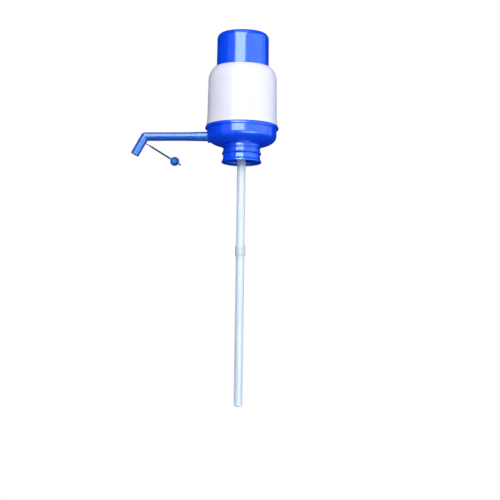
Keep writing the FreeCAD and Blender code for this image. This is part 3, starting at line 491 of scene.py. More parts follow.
def make_sleeve():
    """Soft sleeve in three bands; its tongue snaps into the bowl and it grips under the bottle's bead."""
    top = band_radius + band_wall
    upper = top - 0.5 * sleeve_wall
    groove = upper - sleeve_groove_depth
    pocket = crown_radius + crown_room
    bead = pocket + sleeve_wall
    valley = neck_radius + sleeve_wall
    # the outer face from the floor down, with small steps that draw each band's edges, then the inner one
    section = (Section(top, floor_z, 0.1)
               .to(top, upper_valley_z + 1.5, 0.2)
               .to(groove, upper_valley_z + 0.5, 0.3)
               .to(groove, upper_valley_z - 1.2, 0.3)
               .to(upper - 0.1, upper_valley_z - 1.9, 0.3)
               .to(upper + 0.5, bead_z + 1.1, 0.3)
               .to(bead - 0.15, bead_z + 0.6, 0.4)
               .to(bead, bead_z - 0.4, 0.5)
               .to(valley - 0.1, bead_z - 2.6, 0.6)
               .to(valley - 0.05, bead_z - 3.2, 0.3)
               .to(valley + 0.3, lower_valley_z - 1.0, 1.0)
               .ease(lip_radius, lip_z + sleeve_lip_height)
               .to(lip_radius, lip_z + 0.4, 0.25)
               .to(lip_radius - 0.5, lip_z, 0.25)
               .to(lip_radius - sleeve_wall, lip_z, 0.4)
               .to(neck_radius, lower_valley_z - 2.3, 0.8)
               .to(neck_radius, bead_z - 3.6, 0.8)
               .to(pocket, bead_z - 1.0, 0.9)
               .to(pocket, bead_z + 2.4, 0.9)
               .to(band_radius, -band_depth, 0.9)
               .to(band_radius, floor_z, 0.2))
    return evened(as_object("sleeve", tongue_run(section, 0.0).spun(), math.radians(28)))


def make_gasket():
    """Flat soft ring that seals on the bottle's mouth."""
    inner = gasket_radius - gasket_width
    section = (Section(inner, 0.0, 0.5).to(gasket_radius, 0.0, 0.5)
               .to(gasket_radius, floor_z, 0.1).to(inner, floor_z, 0.1))
    return evened(as_object("mouth_ring_seal", section.spun(steps=RING_STEPS)))


def make_housing():
    """White shell with a domed shoulder, a guide collar, guide ribs and stops."""
    foot_inner = foot_radius - foot_wall
    foot_z = rim_top_z + foot_height
    flare_z = foot_z + flare_height
    wall_radius = foot_radius - flare
    shoulder_radius = wall_radius - wall_lean
    centre = shoulder_radius - shoulder_width
    guide_radius = opening_radius + guide_wall
    lip_angle = math.degrees(math.acos((opening_radius + opening_round - centre) / shoulder_width))
    inner_width = shoulder_width - foot_wall
    inner_height = shoulder_height - foot_wall
    guide_angle = math.degrees(math.acos((guide_radius - centre) / inner_width))
    guide_top_z = shoulder_z + inner_height * math.sin(math.radians(guide_angle))
    bead_low_z = rim_top_z + 0.5 * (upstand_top_z - rim_top_z)
    section = (Section(foot_inner, rim_top_z, 0.3)
               .to(foot_radius, rim_top_z, 0.45)
               .to(foot_radius, foot_z, 1.2)
               .to(foot_radius - flare_knee * flare, foot_z + 0.5 * flare_height, 2.0)
               .to(wall_radius, flare_z, 2.0)
               .ellipse(centre, shoulder_z, shoulder_width, shoulder_height, 0, lip_angle, steps=32)
               .to(opening_radius + opening_crest_width, opening_top_z - opening_crest_drop)
               .to(opening_radius, opening_top_z - opening_round)
               .to(opening_radius, guide_bottom_z, 0.4)
               .to(guide_radius, guide_bottom_z, 0.4)
               .to(guide_radius, guide_top_z)
               .ellipse(centre, shoulder_z, inner_width, inner_height, guide_angle, 0, steps=16)
               .to(wall_radius - foot_wall, flare_z)
               .to(foot_inner, upstand_top_z + upstand_room)
               .to(foot_inner, bead_low_z + 2 * snap_bead)
               .to(foot_inner + snap_bead, bead_low_z + snap_bead)
               .to(foot_inner, bead_low_z))
    housing = as_object("housing_shell", section.spun())
    rib_inner = flange_radius - guide_rib_reach
    stop_z = button_bottom_z - button_stroke - rest_gap
    side = wall_radius - 0.5 * foot_wall
    slope_start = shoulder_radius - 0.5 * foot_wall
    slope = (guide_top_z - shoulder_z) / (slope_start - guide_radius + 0.5 * guide_wall)
    outline = [(rib_inner, flare_z), (side, flare_z), (slope_start, shoulder_z),
               (rib_inner, shoulder_z + slope * (slope_start - rib_inner))]
    ribs = bmesh.new()
    stops = bmesh.new()
    for degrees in spaced(guide_rib_count, guide_rib_start):
        add_slab(ribs, outline, guide_rib_thickness, degrees)
        add_block(stops, (rib_inner, -0.5 * stop_rib_thickness, flare_z - union_offset),
                  (side, 0.5 * stop_rib_thickness, stop_z), degrees)
    combine(housing, ribs, "UNION")
    combine(housing, stops, "UNION")
    return cleaned(housing)


# ---------------------------------------- the button pieces
def button_run(inset):
    """The button's crown, rounding and side in section, from the axis out; inset is 0 for its outer face."""
    side = button_radius - inset - button_lean
    crown = crown_z - inset
    corner = button_round - inset
    dome = button_dome - inset
    corner_radius = side - corner
    corner_z = crown - dome + math.sqrt((dome - corner) ** 2 - corner_radius ** 2)
    tilt = math.degrees(math.asin(corner_radius / (dome - corner)))
    return (Section(0.0, crown)
            .ellipse(0.0, crown - dome, dome, dome, 90.0 - dome_start_degrees, 90.0 - tilt, steps=12)
            .ellipse(corner_radius, corner_z, corner, corner, 90.0 - tilt, 0.0, steps=20))


def make_button():
    """Deep cup with a flange that runs under the guide collar, an air hub, bosses and webs."""
    flange_top_z = button_bottom_z + flange_thickness
    inner = button_radius - button_wall
    section = (button_run(0.0)
               .to(button_radius, opening_top_z)
               .to(button_radius, flange_top_z, 0.5)
               .to(flange_radius, flange_top_z, 0.5)
               .to(flange_radius, button_bottom_z, 0.5)
               .to(inner, button_bottom_z, 0.4)
               .to(inner, opening_top_z))
    for radius, height, _ in reversed(button_run(button_wall).points):
        section.to(radius, height)
    cup = as_object("button_cup", section.spun(closed=False))
    hub = bmesh.new()
    hub_top_z = crown_z - 0.6 * button_wall
    boss_top_z = crown_z - 0.8 * button_wall - boss_dome_drop
    add_bar(hub, hub_radius, (0, 0, head_top_z), (0, 0, hub_top_z), FINE_STEPS)
    for degrees in spaced(head_screw_count, head_screw_start):
        add_bar(hub, head_boss_radius, on_circle(head_screw_circle, degrees, head_top_z),
                on_circle(head_screw_circle, degrees, boss_top_z))
    combine(cup, hub, "UNION")
    reach = button_radius - 0.5 * button_wall
    web_low_z = head_top_z + web_drop
    web_high_z = crown_z - 0.75 * button_round
    for degrees in spaced(web_count // 2):
        web = bmesh.new()
        add_block(web, (-reach, -0.5 * web_thickness, web_low_z),
                  (reach, 0.5 * web_thickness, web_high_z), degrees)
        combine(cup, web, "UNION")
    holes = bmesh.new()
    hub_bore_radius = hub_radius - hub_wall
    add_bar(holes, hub_bore_radius, (0, 0, head_top_z - overcut), (0, 0, web_low_z + hub_hole_rise),
            FINE_STEPS)
    for degrees in spaced(head_screw_count, head_screw_start):
        add_bar(holes, screw_pilot_radius, on_circle(head_screw_circle, degrees, head_top_z - overcut),
                on_circle(head_screw_circle, degrees, head_top_z + head_pilot_depth), PILOT_STEPS)
    combine(cup, holes, "DIFFERENCE")
    slots = bmesh.new()
    slot_half = 0.5 * guide_rib_thickness + rest_gap
    for degrees in spaced(guide_rib_count, guide_rib_start):
        add_block(slots, (flange_radius - guide_rib_reach - rest_gap, -slot_half, button_bottom_z - overcut),
                  (flange_radius + 2 * overcut, slot_half, flange_top_z + overcut), degrees)
    between_screws = head_screw_start + 180.0 / head_screw_count
    for degrees in spaced(head_screw_count, between_screws):
        add_block(slots, (hub_bore_radius - 2 * overcut, -0.5 * hub_window_width, head_top_z - overcut),
                  (hub_radius + overcut, 0.5 * hub_window_width, head_top_z + hub_window_height), degrees)
    combine(cup, slots, "DIFFERENCE")
    return cleaned(cup)


# ---------------------------------------- bellows and tube
def make_bellows():
    """Blown air bag: round folds between a foot flange and an inward top flange."""
    bottom = deck_top_z + bellows_flange + clamp_lip_height
    top = head_under_z - bellows_flange
    pitch = (top - bottom) / bellows_folds
    valley = bellows_radius - bellows_fold_depth
    section = (Section(valley - bellows_wall, deck_top_z)
               .to(bellows_foot_radius, deck_top_z, 0.4)
               .to(bellows_foot_radius, deck_top_z + bellows_flange, 0.4)
               .to(valley, deck_top_z + bellows_flange, 0.6))
    for fold in range(bellows_folds):
        start = bottom + fold * pitch
        section.to(valley, start, fold_valley_round)
        section.to(bellows_radius, start + 0.5 * pitch, fold_crest_round)
    (section.to(valley, top, fold_valley_round).to(valley, head_under_z, 0.3)
     .to(bellows_top_inner, head_under_z, 0.4)
     .to(bellows_top_inner, top, 0.4).to(valley - bellows_wall, top, fold_valley_round))
    for fold in reversed(range(bellows_folds)):
        start = bottom + fold * pitch
        section.to(bellows_radius - bellows_wall, start + 0.5 * pitch, fold_crest_inner_round)
        section.to(valley - bellows_wall, start, fold_valley_round)
    return as_object("air_bag", section.spun(steps=FINE_STEPS), math.radians(40))


def make_tube(name, bottom, top):
    """A length of the dip tube, with its ends rounded a little."""
    section = (Section(water_bore_radius, bottom, tube_end_round).to(tube_radius, bottom, tube_end_round)
               .to(tube_radius, top, tube_end_round).to(water_bore_radius, top, tube_end_round))
    return evened(as_object(name, section.spun(steps=RING_STEPS)))


def make_coupling():
    """Sleeve over the tube's two ends, with an inner stop between them."""
    section = (Section(tube_radius, coupling_low_z, 0.15)
               .to(coupling_radius - coupling_lead_width, coupling_low_z, 0.3)
               .to(coupling_radius, coupling_low_z + coupling_lead_height, 0.6)
               .to(coupling_radius, coupling_high_z - coupling_lead_height, 0.6)
               .to(coupling_radius - coupling_lead_width, coupling_high_z, 0.3)
               .to(tube_radius, coupling_high_z, 0.15)
               .to(tube_radius, tube_joint_high)
               .to(water_bore_radius, tube_joint_high, 0.2)
               .to(water_bore_radius, tube_joint_low, 0.2)
               .to(tube_radius, tube_joint_low))
    return evened(as_object("coupling", section.spun(steps=RING_STEPS)))


# ---------------------------------------- tether and plug
ring_centre = Vector(joints["tether_swivel"]["pos_m"]) / MM
nozzle_way = Vector(joints["tether_swivel"]["axis"]).normalized()
strap_hinge = Vector(joints["strap_bend"]["pos_m"]) / MM
hinge_way = (strap_hinge - ring_centre).normalized()
hinge_reach = (strap_hinge - ring_centre).length


def standing(origin, along, up):
    """A place whose X runs along one way and whose Z is near another, both in the spout's plane."""
    across = up.cross(along).normalized()
    turn = Matrix((along, across, along.cross(across))).transposed().to_4x4()
    return Matrix.Translation(origin * MM) @ turn


ring_place = standing(ring_centre, hinge_way, nozzle_way)
droop = math.radians(strap_droop)
strap_place = standing(strap_hinge, hinge_way * math.cos(droop) + nozzle_way * math.sin(droop), nozzle_way)


def placed(piece, place):
    """Puts a piece's mesh in its place; the object stays at the origin."""
    piece.data.transform(place)
    return piece


def make_tether_ring():
    """Ring that turns in the nozzle's groove, with a tab that ends in an open seat for the strap."""
    inner = nozzle_radius - tether_groove + ring_room
    outer = inner + ring_wall
    half = 0.5 * ring_width
    section = (Section(inner, -half, 0.2).to(outer, -half, 0.3).to(outer, half, 0.3).to(inner, half, 0.2))
    band = as_object("strap_ring", section.spun(steps=FINE_STEPS))
    tab = bmesh.new()
    add_block(tab, (inner + 0.5 * ring_wall, -0.5 * strap_width, -0.5 * strap_thickness),
              (hinge_reach, 0.5 * strap_width, 0.5 * strap_thickness))
    combine(band, tab, "UNION")
    seat = bmesh.new()
    seat_radius = 0.5 * strap_thickness + strap_hinge_gap
    add_bar(seat, seat_radius, (hinge_reach, -strap_width, 0), (hinge_reach, strap_width, 0),
            KNUCKLE_STEPS)
    combine(band, seat, "DIFFERENCE")
    way_down = bmesh.new()
    bmesh.ops.create_cube(way_down, size=1.0, matrix=(
        Matrix.Translation((hinge_reach * MM, 0, 0))
        @ Matrix.Rotation(-math.radians(strap_droop + strap_bend_limit), 4, "Y")
        @ Matrix.Translation((strap_thickness * MM, 0, 0))
        @ Matrix.Diagonal((2 * strap_thickness * MM, 2 * strap_width * MM, 2 * seat_radius * MM, 1.0))))
    combine(band, way_down, "DIFFERENCE")
    return placed(cleaned(band), ring_place)


def make_plug_strap():
    """Strap with rounded edges that turns a quarter on its way to the plug."""
    reach = strap_length - strap_end_in_plug * plug_radius
    bm = bmesh.new()
    half_w, half_t = 0.5 * strap_width * MM, 0.5 * strap_thickness * MM
    corners = [bm.verts.new((0, w, t)) for w, t in
               ((half_w, half_t), (-half_w, half_t), (-half_w, -half_t), (half_w, -half_t))]
    bm.faces.new(corners)
    bmesh.ops.bevel(bm, geom=corners, offset=strap_edge_round * MM, offset_type="OFFSET",
                    segments=ROUNDING_STEPS, profile=0.5, affect="VERTICES", material=-1)
    face = bm.faces[:][0]
    stride = reach / strap_steps
    for step in range(1, strap_steps + 1):
        grown = bmesh.ops.extrude_face_region(bm, geom=[face])
        if step > 1:
            bmesh.ops.delete(bm, geom=[face], context="FACES_ONLY")
        face = next(item for item in grown["geom"] if isinstance(item, bmesh.types.BMFace))
        bmesh.ops.translate(bm, verts=face.verts[:], vec=(stride * MM, 0, 0))
        before, now = twist_at(stride * (step - 1)), twist_at(stride * step)
        bmesh.ops.rotate(bm, verts=face.verts[:], cent=(0, 0, 0),
                         matrix=Matrix.Rotation(now - before, 3, "X"))
    strap = as_object("plug_on_strap", facing_out(bm), math.radians(50))
    knuckle = bmesh.new()
    knuckle_half = 0.5 * strap_width - union_offset
    add_bar(knuckle, 0.5 * strap_thickness, (0, -knuckle_half, 0), (0, knuckle_half, 0), KNUCKLE_STEPS)
    combine(strap, knuckle, "UNION")
    combine(strap, plug_mesh(), "UNION")
    return placed(cleaned(strap), strap_place)


def twist_at(reach):
    """How far the strap has turned about its length, in radians."""
    share = min(1.0, max(0.0, reach / strap_twist_length))
    return 0.5 * math.pi * share * share * (3.0 - 2.0 * share)


def plug_mesh():
    """Plug with a flange, a stopper dished at its end and a pull tab; its axis lies across the strap."""
    base = -0.5 * strap_thickness
    end = base + plug_flange + plug_length
    inner = stopper_radius - stopper_wall
    section = (Section(0.0, base).to(plug_radius, base, 0.5)
               .to(plug_radius, base + plug_flange, 0.45)
               .to(stopper_radius, base + plug_flange, 0.3)
               .to(stopper_radius, end - stopper_nose_height)
               .to(stopper_radius - stopper_nose_width, end, 0.25)
               .to(inner, end, 0.25)
               .to(inner, end - plug_hollow, 0.4)
               .to(0.0, end - plug_hollow))
    plug = section.spun(closed=False, steps=RING_STEPS)
    knob = (Section(0.0, base).to(tab_knob_radius, base, 0.4).to(tab_knob_radius, -base, 0.4)
            .to(0.0, -base)).spun(closed=False, steps=BAR_STEPS)
    bmesh.ops.translate(knob, verts=knob.verts[:], vec=(tab_reach * MM, 0, 0))
    tab = as_object("tab", knob)
    neck = bmesh.new()
    add_block(neck, (plug_radius - tab_neck_root, -tab_neck_half_width, base),
              (tab_reach, tab_neck_half_width, -base))
    combine(tab, neck, "UNION")
    whole = as_object("plug", plug)
    combine(whole, taken(tab), "UNION")
    turned = taken(whole)
    bmesh.ops.rotate(turned, verts=turned.verts[:], cent=(0, 0, 0),
                     matrix=Matrix.Rotation(-0.5 * math.pi, 3, "X"))
    bmesh.ops.translate(turned, verts=turned.verts[:], vec=(strap_length * MM, 0, 0))
    return turned


# ---------------------------------------- shader maths
class Wire:
    """A socket's output; arithmetic on wires adds Math nodes."""

    def __init__(self, nodes, socket):
        self.nodes = nodes
        self.socket = socket

    def __add__(self, other):
        return self.nodes.math("ADD", self, other)

    __radd__ = __add__

    def __sub__(self, other):
        return self.nodes.math("SUBTRACT", self, other)

    def __rsub__(self, other):
        return self.nodes.math("SUBTRACT", other, self)

    def __mul__(self, other):
        return self.nodes.math("MULTIPLY", self, other)

    __rmul__ = __mul__

    def ramp(self, start, end, lowest=0.0):
        """The lowest value under start and 1 over end, with a smooth step between them."""
        return self.nodes.node(
            "ShaderNodeMapRange", {"interpolation_type": "SMOOTHSTEP"},
            {"Value": self, "From Min": start, "From Max": end, "To Min": lowest})


class Nodes:
    """The node tree of a finish or of the world; every node in it comes from the method node."""

    def __init__(self, owner):
        owner.use_nodes = True
        self.tree = owner.node_tree

    def node(self, kind, settings=None, inputs=None, output=0):
        """Makes a node, with its settings first and then the values or wires of its sockets."""
        made = self.tree.nodes.new(kind)
        for key, value in (settings or {}).items():
            setattr(made, key, value)
        for key, value in (inputs or {}).items():
            self.feed(made.inputs[key], value)
        return Wire(self, made.outputs[output])

    def feed(self, socket, value):
        if isinstance(value, Wire):
            self.tree.links.new(value.socket, socket)
        else:
            socket.default_value = value

    def math(self, operation, *values, clamped=False):
        return self.node("ShaderNodeMath", {"operation": operation, "use_clamp": clamped},
                         dict(enumerate(values)))

    def ray(self, kind):
        """1 for a ray of a kind, such as Camera or Glossy, and 0 for the others."""
        return self.node("ShaderNodeLightPath", output=f"Is {kind} Ray")

    def between(self, factor, first, second):
        """The first number at factor 0 and the second at 1."""
        return self.node("ShaderNodeMix", {}, {0: factor, 2: first, 3: second})

    def mix(self, factor, first, second):
        """The first colour at factor 0 and the second at 1."""
        return self.node("ShaderNodeMix", {"data_type": "RGBA"}, {0: factor, 6: first, 7: second}, 2)

    def either(self, factor, first, second):
        """The first shader at factor 0 and the second at 1."""
        return self.node("ShaderNodeMixShader", {}, {0: factor, 1: first, 2: second})


class Finish(Nodes):
    """A material with its shader, its place on the piece and the textures that the finishes share."""

    def __init__(self, name):
        self.material = bpy.data.materials.new(name)
        super().__init__(self.material)
        self.shader = self.tree.nodes["Principled BSDF"]
        self.place = self.node("ShaderNodeTexCoord", output="Object")

    def noise(self, scale, detail=2.0, roughness=0.5, stretch=(1.0, 1.0, 1.0)):
        """Noise in the piece's own place; a stretch under 1 draws it out along that axis."""
        place = self.place
        if stretch != (1.0, 1.0, 1.0):
            place = self.node("ShaderNodeVectorMath", {"operation": "MULTIPLY"}, {0: place, 1: stretch})
        return self.node("ShaderNodeTexNoise", {},
                         {"Vector": place, "Scale": scale, "Detail": detail, "Roughness": roughness})

    def bump(self, height, strength, depth):
        """Fine relief; its depth is in mm."""
        return self.node("ShaderNodeBump", {},
                         {"Height": height, "Strength": strength, "Distance": depth * MM})

    def surface(self, **sockets):
        """Feeds the shader's sockets by their names, such as specular_ior_level."""
        for key, value in sockets.items():
            self.feed(self.shader.inputs[key.replace("_", " ").title().replace("Ior", "IOR")], value)
        return self.material


def rgba(red, green, blue):
    return (red, green, blue, 1.0)


def moulded(name, colour, pale, deep, roughness, peel, specular):
    """Glossy injection-moulded plastic: faint flow clouds, orange peel, smudges and hair scratches."""
    finish = Finish(name)
    clouds = finish.noise(38.0, 3.0, 0.55).ramp(0.3, 0.7)
    flow = finish.noise(90.0, 2.0, 0.5, (1.0, 1.0, 0.12)).ramp(0.35, 0.75)
    tone = finish.mix(clouds * 0.5, rgba(*colour), rgba(*deep))
    tone = finish.mix(flow * 0.25, tone, rgba(*pale))
    smudge = finish.noise(55.0, 4.0, 0.6).ramp(0.48, 0.72)
    hair = finish.noise(620.0, 2.0, 0.7, (0.08, 1.0, 1.0)).ramp(0.62, 0.74)
    speck = finish.noise(2600.0, 1.0, 0.5)
    wave = finish.noise(420.0, 1.0, 0.4)
    return finish.surface(
        base_color=tone, roughness=roughness + smudge * 0.05 + hair * 0.06,
        normal=finish.bump(wave * 0.8 + speck * 0.2, peel, 0.06), specular_ior_level=specular)


def soft_moulded(name, colour, pale):
    """Soft satin plastic with a fine grain and paler clouds."""
    finish = Finish(name)
    grain = finish.noise(1500.0, 2.0, 0.6)
    clouds = finish.noise(60.0, 3.0, 0.5).ramp(0.35, 0.7)
    tone = finish.mix(clouds * 0.35, rgba(*colour), rgba(*pale))
    return finish.surface(
        base_color=tone, roughness=0.10 + grain * 0.05, normal=finish.bump(grain, 0.08, 0.05),
        specular_ior_level=0.6, specular_tint=rgba(0.82, 1.0, 1.0))


def milky_spout(name, colour, pale, deep):
    """Slightly milky drawn tube: streaks along its length, cloudy where it is pushed into the bowl."""
    finish = Finish(name)
    x = finish.node("ShaderNodeSeparateXYZ", {}, {0: finish.place})
    before_bend = x.ramp(-spout_bend_reach * MM, -spout_streaks_reach * MM)
    streak = finish.noise(300.0, 2.0, 0.5, (0.05, 1.0, 1.0)).ramp(0.3, 0.75) * before_bend
    near_bowl = x.ramp(-spout_clear_reach * MM, -spout_cloudy_reach * MM)
    cloud = finish.noise(220.0, 3.0, 0.6).ramp(0.42, 0.66)
    tone = finish.mix(streak * 0.5, rgba(*colour), rgba(*deep))
    tone = finish.mix(near_bowl * (0.25 + cloud * 0.45), tone, rgba(*pale))
    wave = finish.noise(260.0, 1.0, 0.5, (0.2, 1.0, 1.0))
    return finish.surface(
        base_color=tone, roughness=0.32 - before_bend * 0.12 + cloud * near_bowl * 0.08 + streak * 0.03,
        normal=finish.bump(wave, 0.03, 0.05), specular_ior_level=0.42)


def slate_tether(name, strap, plug, deep):
    """Satin plastic with a fine grain: a slate strap and tab, and a bluer plug with deeper clouds."""
    finish = Finish(name)
    plug_centre = strap_place @ Vector((strap_length * MM, 0.0, 0.0))
    away = finish.node("ShaderNodeVectorMath", {"operation": "DISTANCE"},
                       {0: finish.place, 1: plug_centre}, "Value")
    grain = finish.noise(1500.0, 2.0, 0.6)
    clouds = finish.noise(160.0, 3.0, 0.5).ramp(0.35, 0.7)
    past_plug = away.ramp((plug_radius + 0.1) * MM, (plug_radius + 0.9) * MM)
    tone = finish.mix(clouds * 0.6, rgba(*plug), rgba(*deep))
    tone = finish.mix(past_plug, tone, rgba(*strap))
    return finish.surface(
        base_color=tone, roughness=0.30 + grain * 0.08, normal=finish.bump(grain, 0.06, 0.05),
        specular_ior_level=0.08)


def milky_tube(name, colour, pale):
    """Translucent drawn tube with faint die lines along its length."""
    finish = Finish(name)
    lines = finish.noise(900.0, 2.0, 0.6, (1.0, 1.0, 0.01)).ramp(0.35, 0.7)
    clouds = finish.noise(45.0, 2.0, 0.5).ramp(0.3, 0.7)
    tone = finish.mix(clouds * 0.5, rgba(*colour), rgba(*pale))
    return finish.surface(
        base_color=tone, roughness=0.28 + lines * 0.10, normal=finish.bump(lines, 0.12, 0.05),
        transmission_weight=0.40, ior=1.5, specular_ior_level=0.2)


def natural_plastic(name, colour):
    """Uncoloured moulding for inner pieces, a little darker in clouds."""
    finish = Finish(name)
    clouds = finish.noise(70.0, 3.0, 0.5).ramp(0.3, 0.7)
    grain = finish.noise(1300.0, 2.0, 0.5)
    tone = finish.mix(clouds, rgba(*colour), rgba(*[0.93 * part for part in colour]))
    return finish.surface(base_color=tone, roughness=0.42 + grain * 0.08,
                          normal=finish.bump(grain, 0.15, 0.05))


def seal_rubber(name, colour, bloomed):
    """Black rubber with a grey bloom in patches."""
    finish = Finish(name)
    grain = finish.noise(1800.0, 3.0, 0.6)
    bloom = finish.noise(160.0, 4.0, 0.6).ramp(0.5, 0.75)
    tone = finish.mix(bloom * 0.5, rgba(*colour), rgba(*bloomed))
    return finish.surface(base_color=tone, roughness=0.62 + bloom * 0.16,
                          normal=finish.bump(grain, 0.3, 0.06))


def screw_steel(name, colour, bright):
    """Plated steel, brushed along the screws."""
    finish = Finish(name)
    brushed = finish.noise(3000.0, 2.0, 0.6, (1.0, 1.0, 0.1))
    tone = finish.mix(brushed, rgba(*colour), rgba(*bright))
    return finish.surface(base_color=tone, metallic=1.0, roughness=0.24 + brushed * 0.16,
                          normal=finish.bump(brushed, 0.12, 0.04))


# colours are linear: the plain tone, then a paler and a deeper one
finishes = {
    "blue_plastic": moulded("gloss_blue", (0.0012, 0.074, 0.93), (0.006, 0.095, 0.98), (0.001, 0.056, 0.82),
                            roughness=0.15, peel=0.12, specular=0.5),
    "white_plastic": moulded("gloss_white", (0.795, 0.80, 0.905), (0.82, 0.83, 0.92), (0.77, 0.775, 0.885),
                             roughness=0.17, peel=0.10, specular=0.1),
    "soft_blue": soft_moulded("satin_blue", (0.002, 0.062, 0.82), (0.006, 0.085, 0.88)),
    "spout_blue": milky_spout("milky_blue", (0.010, 0.10, 0.56), (0.04, 0.155, 0.60), (0.005, 0.07, 0.47)),
    "tether_blue": slate_tether("slate_blue", strap=(0.012, 0.019, 0.030), plug=(0.010, 0.13, 0.60),
                                deep=(0.008, 0.10, 0.46)),
    "tube_plastic": milky_tube("milky_tube", (0.75, 0.765, 0.86), (0.80, 0.81, 0.90)),
    "bellows_plastic": natural_plastic("blown_white", (0.84, 0.84, 0.82)),
    "inner_white": natural_plastic("natural_white", (0.80, 0.80, 0.785)),
    "seal_rubber": seal_rubber("black_rubber", (0.022, 0.022, 0.024), (0.06, 0.06, 0.062)),
    "screw_steel": screw_steel("zinc_steel", (0.55, 0.56, 0.56), (0.66, 0.67, 0.68)),
}


def dress(piece, slot_name):
    """Gives a piece the finish of its slot."""
    piece.data.materials.clear()
    piece.data.materials.append(finishes[slot_name])


def stand_for(piece, body, slot_name, *nodes):
    """Gives a new piece its finish and body, in place of the nodes that it shows."""
    dress(piece, slot_name)
    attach(piece, body)
    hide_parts(*nodes)
    return piece


node_slots = {part["node"]: part["material_slot"] for part in frame["record"]["subparts"]}
for node_name, node in frame["nodes"].items():
    dress(node, node_slots[node_name])

stand_for(make_bowl(), "base", "blue_plastic", "base_bowl")
stand_for(make_sleeve(), "base", "soft_blue", "neck_sleeve")
stand_for(make_gasket(), "base", "seal_rubber", "mouth_gasket")
stand_for(make_housing(), "base", "white_plastic", "housing")
stand_for(make_button(), "button", "blue_plastic", "press_button")
air_bag = stand_for(make_bellows(), "base", "bellows_plastic", "bellows")
1.0 - button_stroke / (head_under_z - deck_top_z)
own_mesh(air_bag)
stand_for(make_tube("upper_tube", tube_joint_high, tube_top_z), "base", "tube_plastic", "dip_tube_upper")
stand_for(make_tube("lower_tube", tube_end_z, tube_joint_low), "base", "tube_plastic", "dip_tube_lower")
stand_for(make_coupling(), "base", "tube_plastic", "tube_coupling")
stand_for(make_tether_ring(), "tether", "spout_blue", "tether_ring")
stand_for(make_plug_strap(), "plug", "tether_blue", "plug_strap")


# ---------------------------------------- studio, in metres and degrees
view_azimuth = 5.0                             # of the camera; 0 is in front, along -Y, and 90 is at +X
view_elevation = -9.0
window_azimuth = view_azimuth - 12.0
lamp_aim = Vector((0.0, 0.0, 0.07))            # the middle of the housing
plain_light = (1.0, 1.0, 1.0)
window_tint = (0.88, 1.19, 1.25)
side_tint = (0.85, 1.5, 1.35)
low_tint = (0.5, 1.0, 1.25)
fill_tint = (0.93, 0.97, 1.12)

room_fill = 0.05                               # the world's strength as a light on colour
room_gloss = 0.01                              # and in gloss, as the dark room that edges mirror
floor_radius = 8.0
floor_gap = 0.012                              # under the tube's end
floor_colour = (0.86, 0.87, 0.88)
floor_fade_start = 0.1                         # distances from the origin
floor_fade_end = 0.9
floor_whiteness = 0.6                          # its share of plain white where the fade starts
floor_bounce_lost = 0.5

metres_a_pixel = 0.0015
picture_size = 500
axis_pixel = Vector((241.4, 163.0))            # where a point on the pump's axis comes in the render
axis_height = -0.024                           # of that point
axis_lean = 0.8
camera_distance = 6.5


def away_from_pump(azimuth, elevation):
    """The direction from the pump to a place round it."""
    turn, rise = math.radians(azimuth), math.radians(elevation)
    return Vector((math.sin(turn) * math.cos(rise), -math.cos(turn) * math.cos(rise), math.sin(rise)))


def softbox(name, azimuth, elevation, distance, width, height, strength, tint, in_gloss):
    """A lit panel that faces the pump; it is seen in gloss alone, or lights colour alone."""
    lamp = bpy.data.lights.new(name, "AREA")
    lamp.shape = "RECTANGLE"
    lamp.size = width
    lamp.size_y = height
    lamp.energy = strength * math.pi * width * height
    lamp.color = tint
    back = away_from_pump(azimuth, elevation)
    panel = bpy.data.objects.new(name, lamp)
    panel.location = lamp_aim + back * distance
    panel.rotation_mode = "QUATERNION"
    panel.rotation_quaternion = back.to_track_quat("Z", "Y")
    panel.visible_camera = False
    panel.visible_diffuse = not in_gloss
    panel.visible_glossy = in_gloss
    bpy.context.scene.collection.objects.link(panel)


def studio_lamps():
    """Window panes and strips that gloss mirrors, then broad panels for colour; each row is a softbox."""
    for row in (
            ("key_strip", window_azimuth, 24.5, 1.6, 1.26, 1.19, 12.0, window_tint),
            ("upper_strip", window_azimuth, 52.0, 1.6, 1.26, 0.40, 12.0, window_tint),
            ("over_strip", window_azimuth, 79.5, 1.6, 1.26, 1.17, 1.6, window_tint),
            ("side_strip", view_azimuth + 50.0, 8.0, 1.5, 2.5, 2.3, 2.0, side_tint),
            ("far_strip", view_azimuth + 103.0, 8.0, 1.5, 0.7, 1.7, 1.0, side_tint),
            ("left_strip", view_azimuth - 51.0, -5.0, 1.0, 0.65, 1.6, 0.6, side_tint),
            ("under_strip", window_azimuth, -20.0, 0.8, 0.64, 0.7, 0.6, side_tint),
            ("low_strip", view_azimuth + 23.0, -28.0, 0.7, 0.62, 0.22, 11.0, low_tint)):
        softbox(*row, in_gloss=True)
    for row in (
            ("key_panel", view_azimuth - 9.0, 18.0, 1.8, 1.5, 1.5, 3.48, plain_light),
            ("side_panel", view_azimuth + 58.0, 12.0, 1.4, 1.5, 1.6, 2.0, fill_tint),
            ("left_panel", view_azimuth - 58.0, 22.0, 1.4, 1.2, 1.4, 0.95, fill_tint),
            ("top_panel", 0.0, 82.0, 1.6, 1.6, 1.6, 0.7, plain_light),
            ("back_panel", 187.0, 25.0, 3.0, 1.2, 1.2, 12.0, plain_light)):
        softbox(*row, in_gloss=False)


def studio_world():
    """White to the camera and through the tube, a faint fill for colour and a dark room for gloss."""
    world = bpy.data.worlds.new("studio")
    bpy.context.scene.world = world
    nodes = Nodes(world)
    shade = nodes.tree.nodes["Background"]
    seen = nodes.math("MAXIMUM", nodes.ray("Camera"), nodes.ray("Transmission"))
    room = nodes.between(nodes.ray("Glossy"), room_fill, room_gloss)
    shade.inputs["Color"].default_value = rgba(*plain_light)
    nodes.feed(shade.inputs["Strength"], nodes.between(seen, room, 1.0))


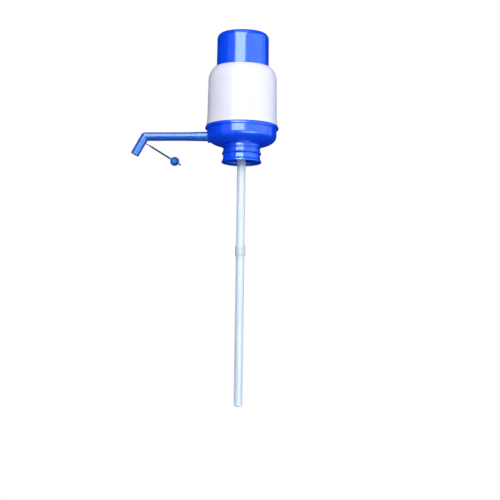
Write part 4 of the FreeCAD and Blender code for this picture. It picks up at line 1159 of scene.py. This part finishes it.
def studio_floor():
    """Pale floor under the tube's end, which keeps the pump's shadow and fades to white further out.

    It is clear from below and to gloss, and the half of its bounce that would light the pump is lost.
    """
    bm = bmesh.new()
    bmesh.ops.create_circle(bm, cap_ends=True, segments=96, radius=floor_radius)
    bmesh.ops.translate(bm, verts=bm.verts[:], vec=(0, 0, tube_end_z * MM - floor_gap))
    floor = as_object("floor", bm)
    look = Finish("floor")
    look.surface(base_color=rgba(*floor_colour), roughness=0.6, specular_ior_level=0.0)
    pale = Wire(look, look.shader.outputs[0])
    white = look.node("ShaderNodeEmission")
    clear = look.node("ShaderNodeBsdfTransparent")
    far = look.node("ShaderNodeVectorMath", {"operation": "LENGTH"}, {0: look.place}, "Value")
    fade = far.ramp(floor_fade_start, floor_fade_end, floor_whiteness)
    shown = look.either(fade * look.ray("Camera"), pale, white)
    below = look.node("ShaderNodeNewGeometry", output="Backfacing")
    unseen = look.math("MAXIMUM", below, look.ray("Glossy"))
    lost = look.math("MULTIPLY_ADD", look.ray("Diffuse"), floor_bounce_lost, unseen, clamped=True)
    look.feed(look.tree.nodes["Material Output"].inputs["Surface"], look.either(lost, shown, clear))
    floor.data.materials.append(look.material)


def studio_camera():
    """Long lens a little under the pump; the pump's axis leans slightly in the picture."""
    back = away_from_pump(view_azimuth, view_elevation)
    upright = back.to_track_quat("Z", "Y")
    tilt = Quaternion(back, math.radians(axis_lean))
    right = tilt @ (upright @ Vector((1, 0, 0)))
    above = tilt @ (upright @ Vector((0, 1, 0)))
    offset = (Vector((picture_size / 2, picture_size / 2)) - axis_pixel) * metres_a_pixel
    target = Vector((0, 0, axis_height)) + right * offset.x - above * offset.y
    lens = bpy.data.cameras.new("camera")
    lens.sensor_width = 36.0
    lens.lens = lens.sensor_width * camera_distance / (metres_a_pixel * picture_size)
    lens.clip_end = 100.0
    camera = bpy.data.objects.new("camera", lens)
    camera.rotation_mode = "QUATERNION"
    camera.rotation_quaternion = tilt @ upright
    camera.location = target + back * camera_distance
    bpy.context.scene.collection.objects.link(camera)
    bpy.context.scene.camera = camera


studio_lamps()
studio_world()
studio_floor()
studio_camera()
bpy.context.scene.view_settings.view_transform = "Standard"
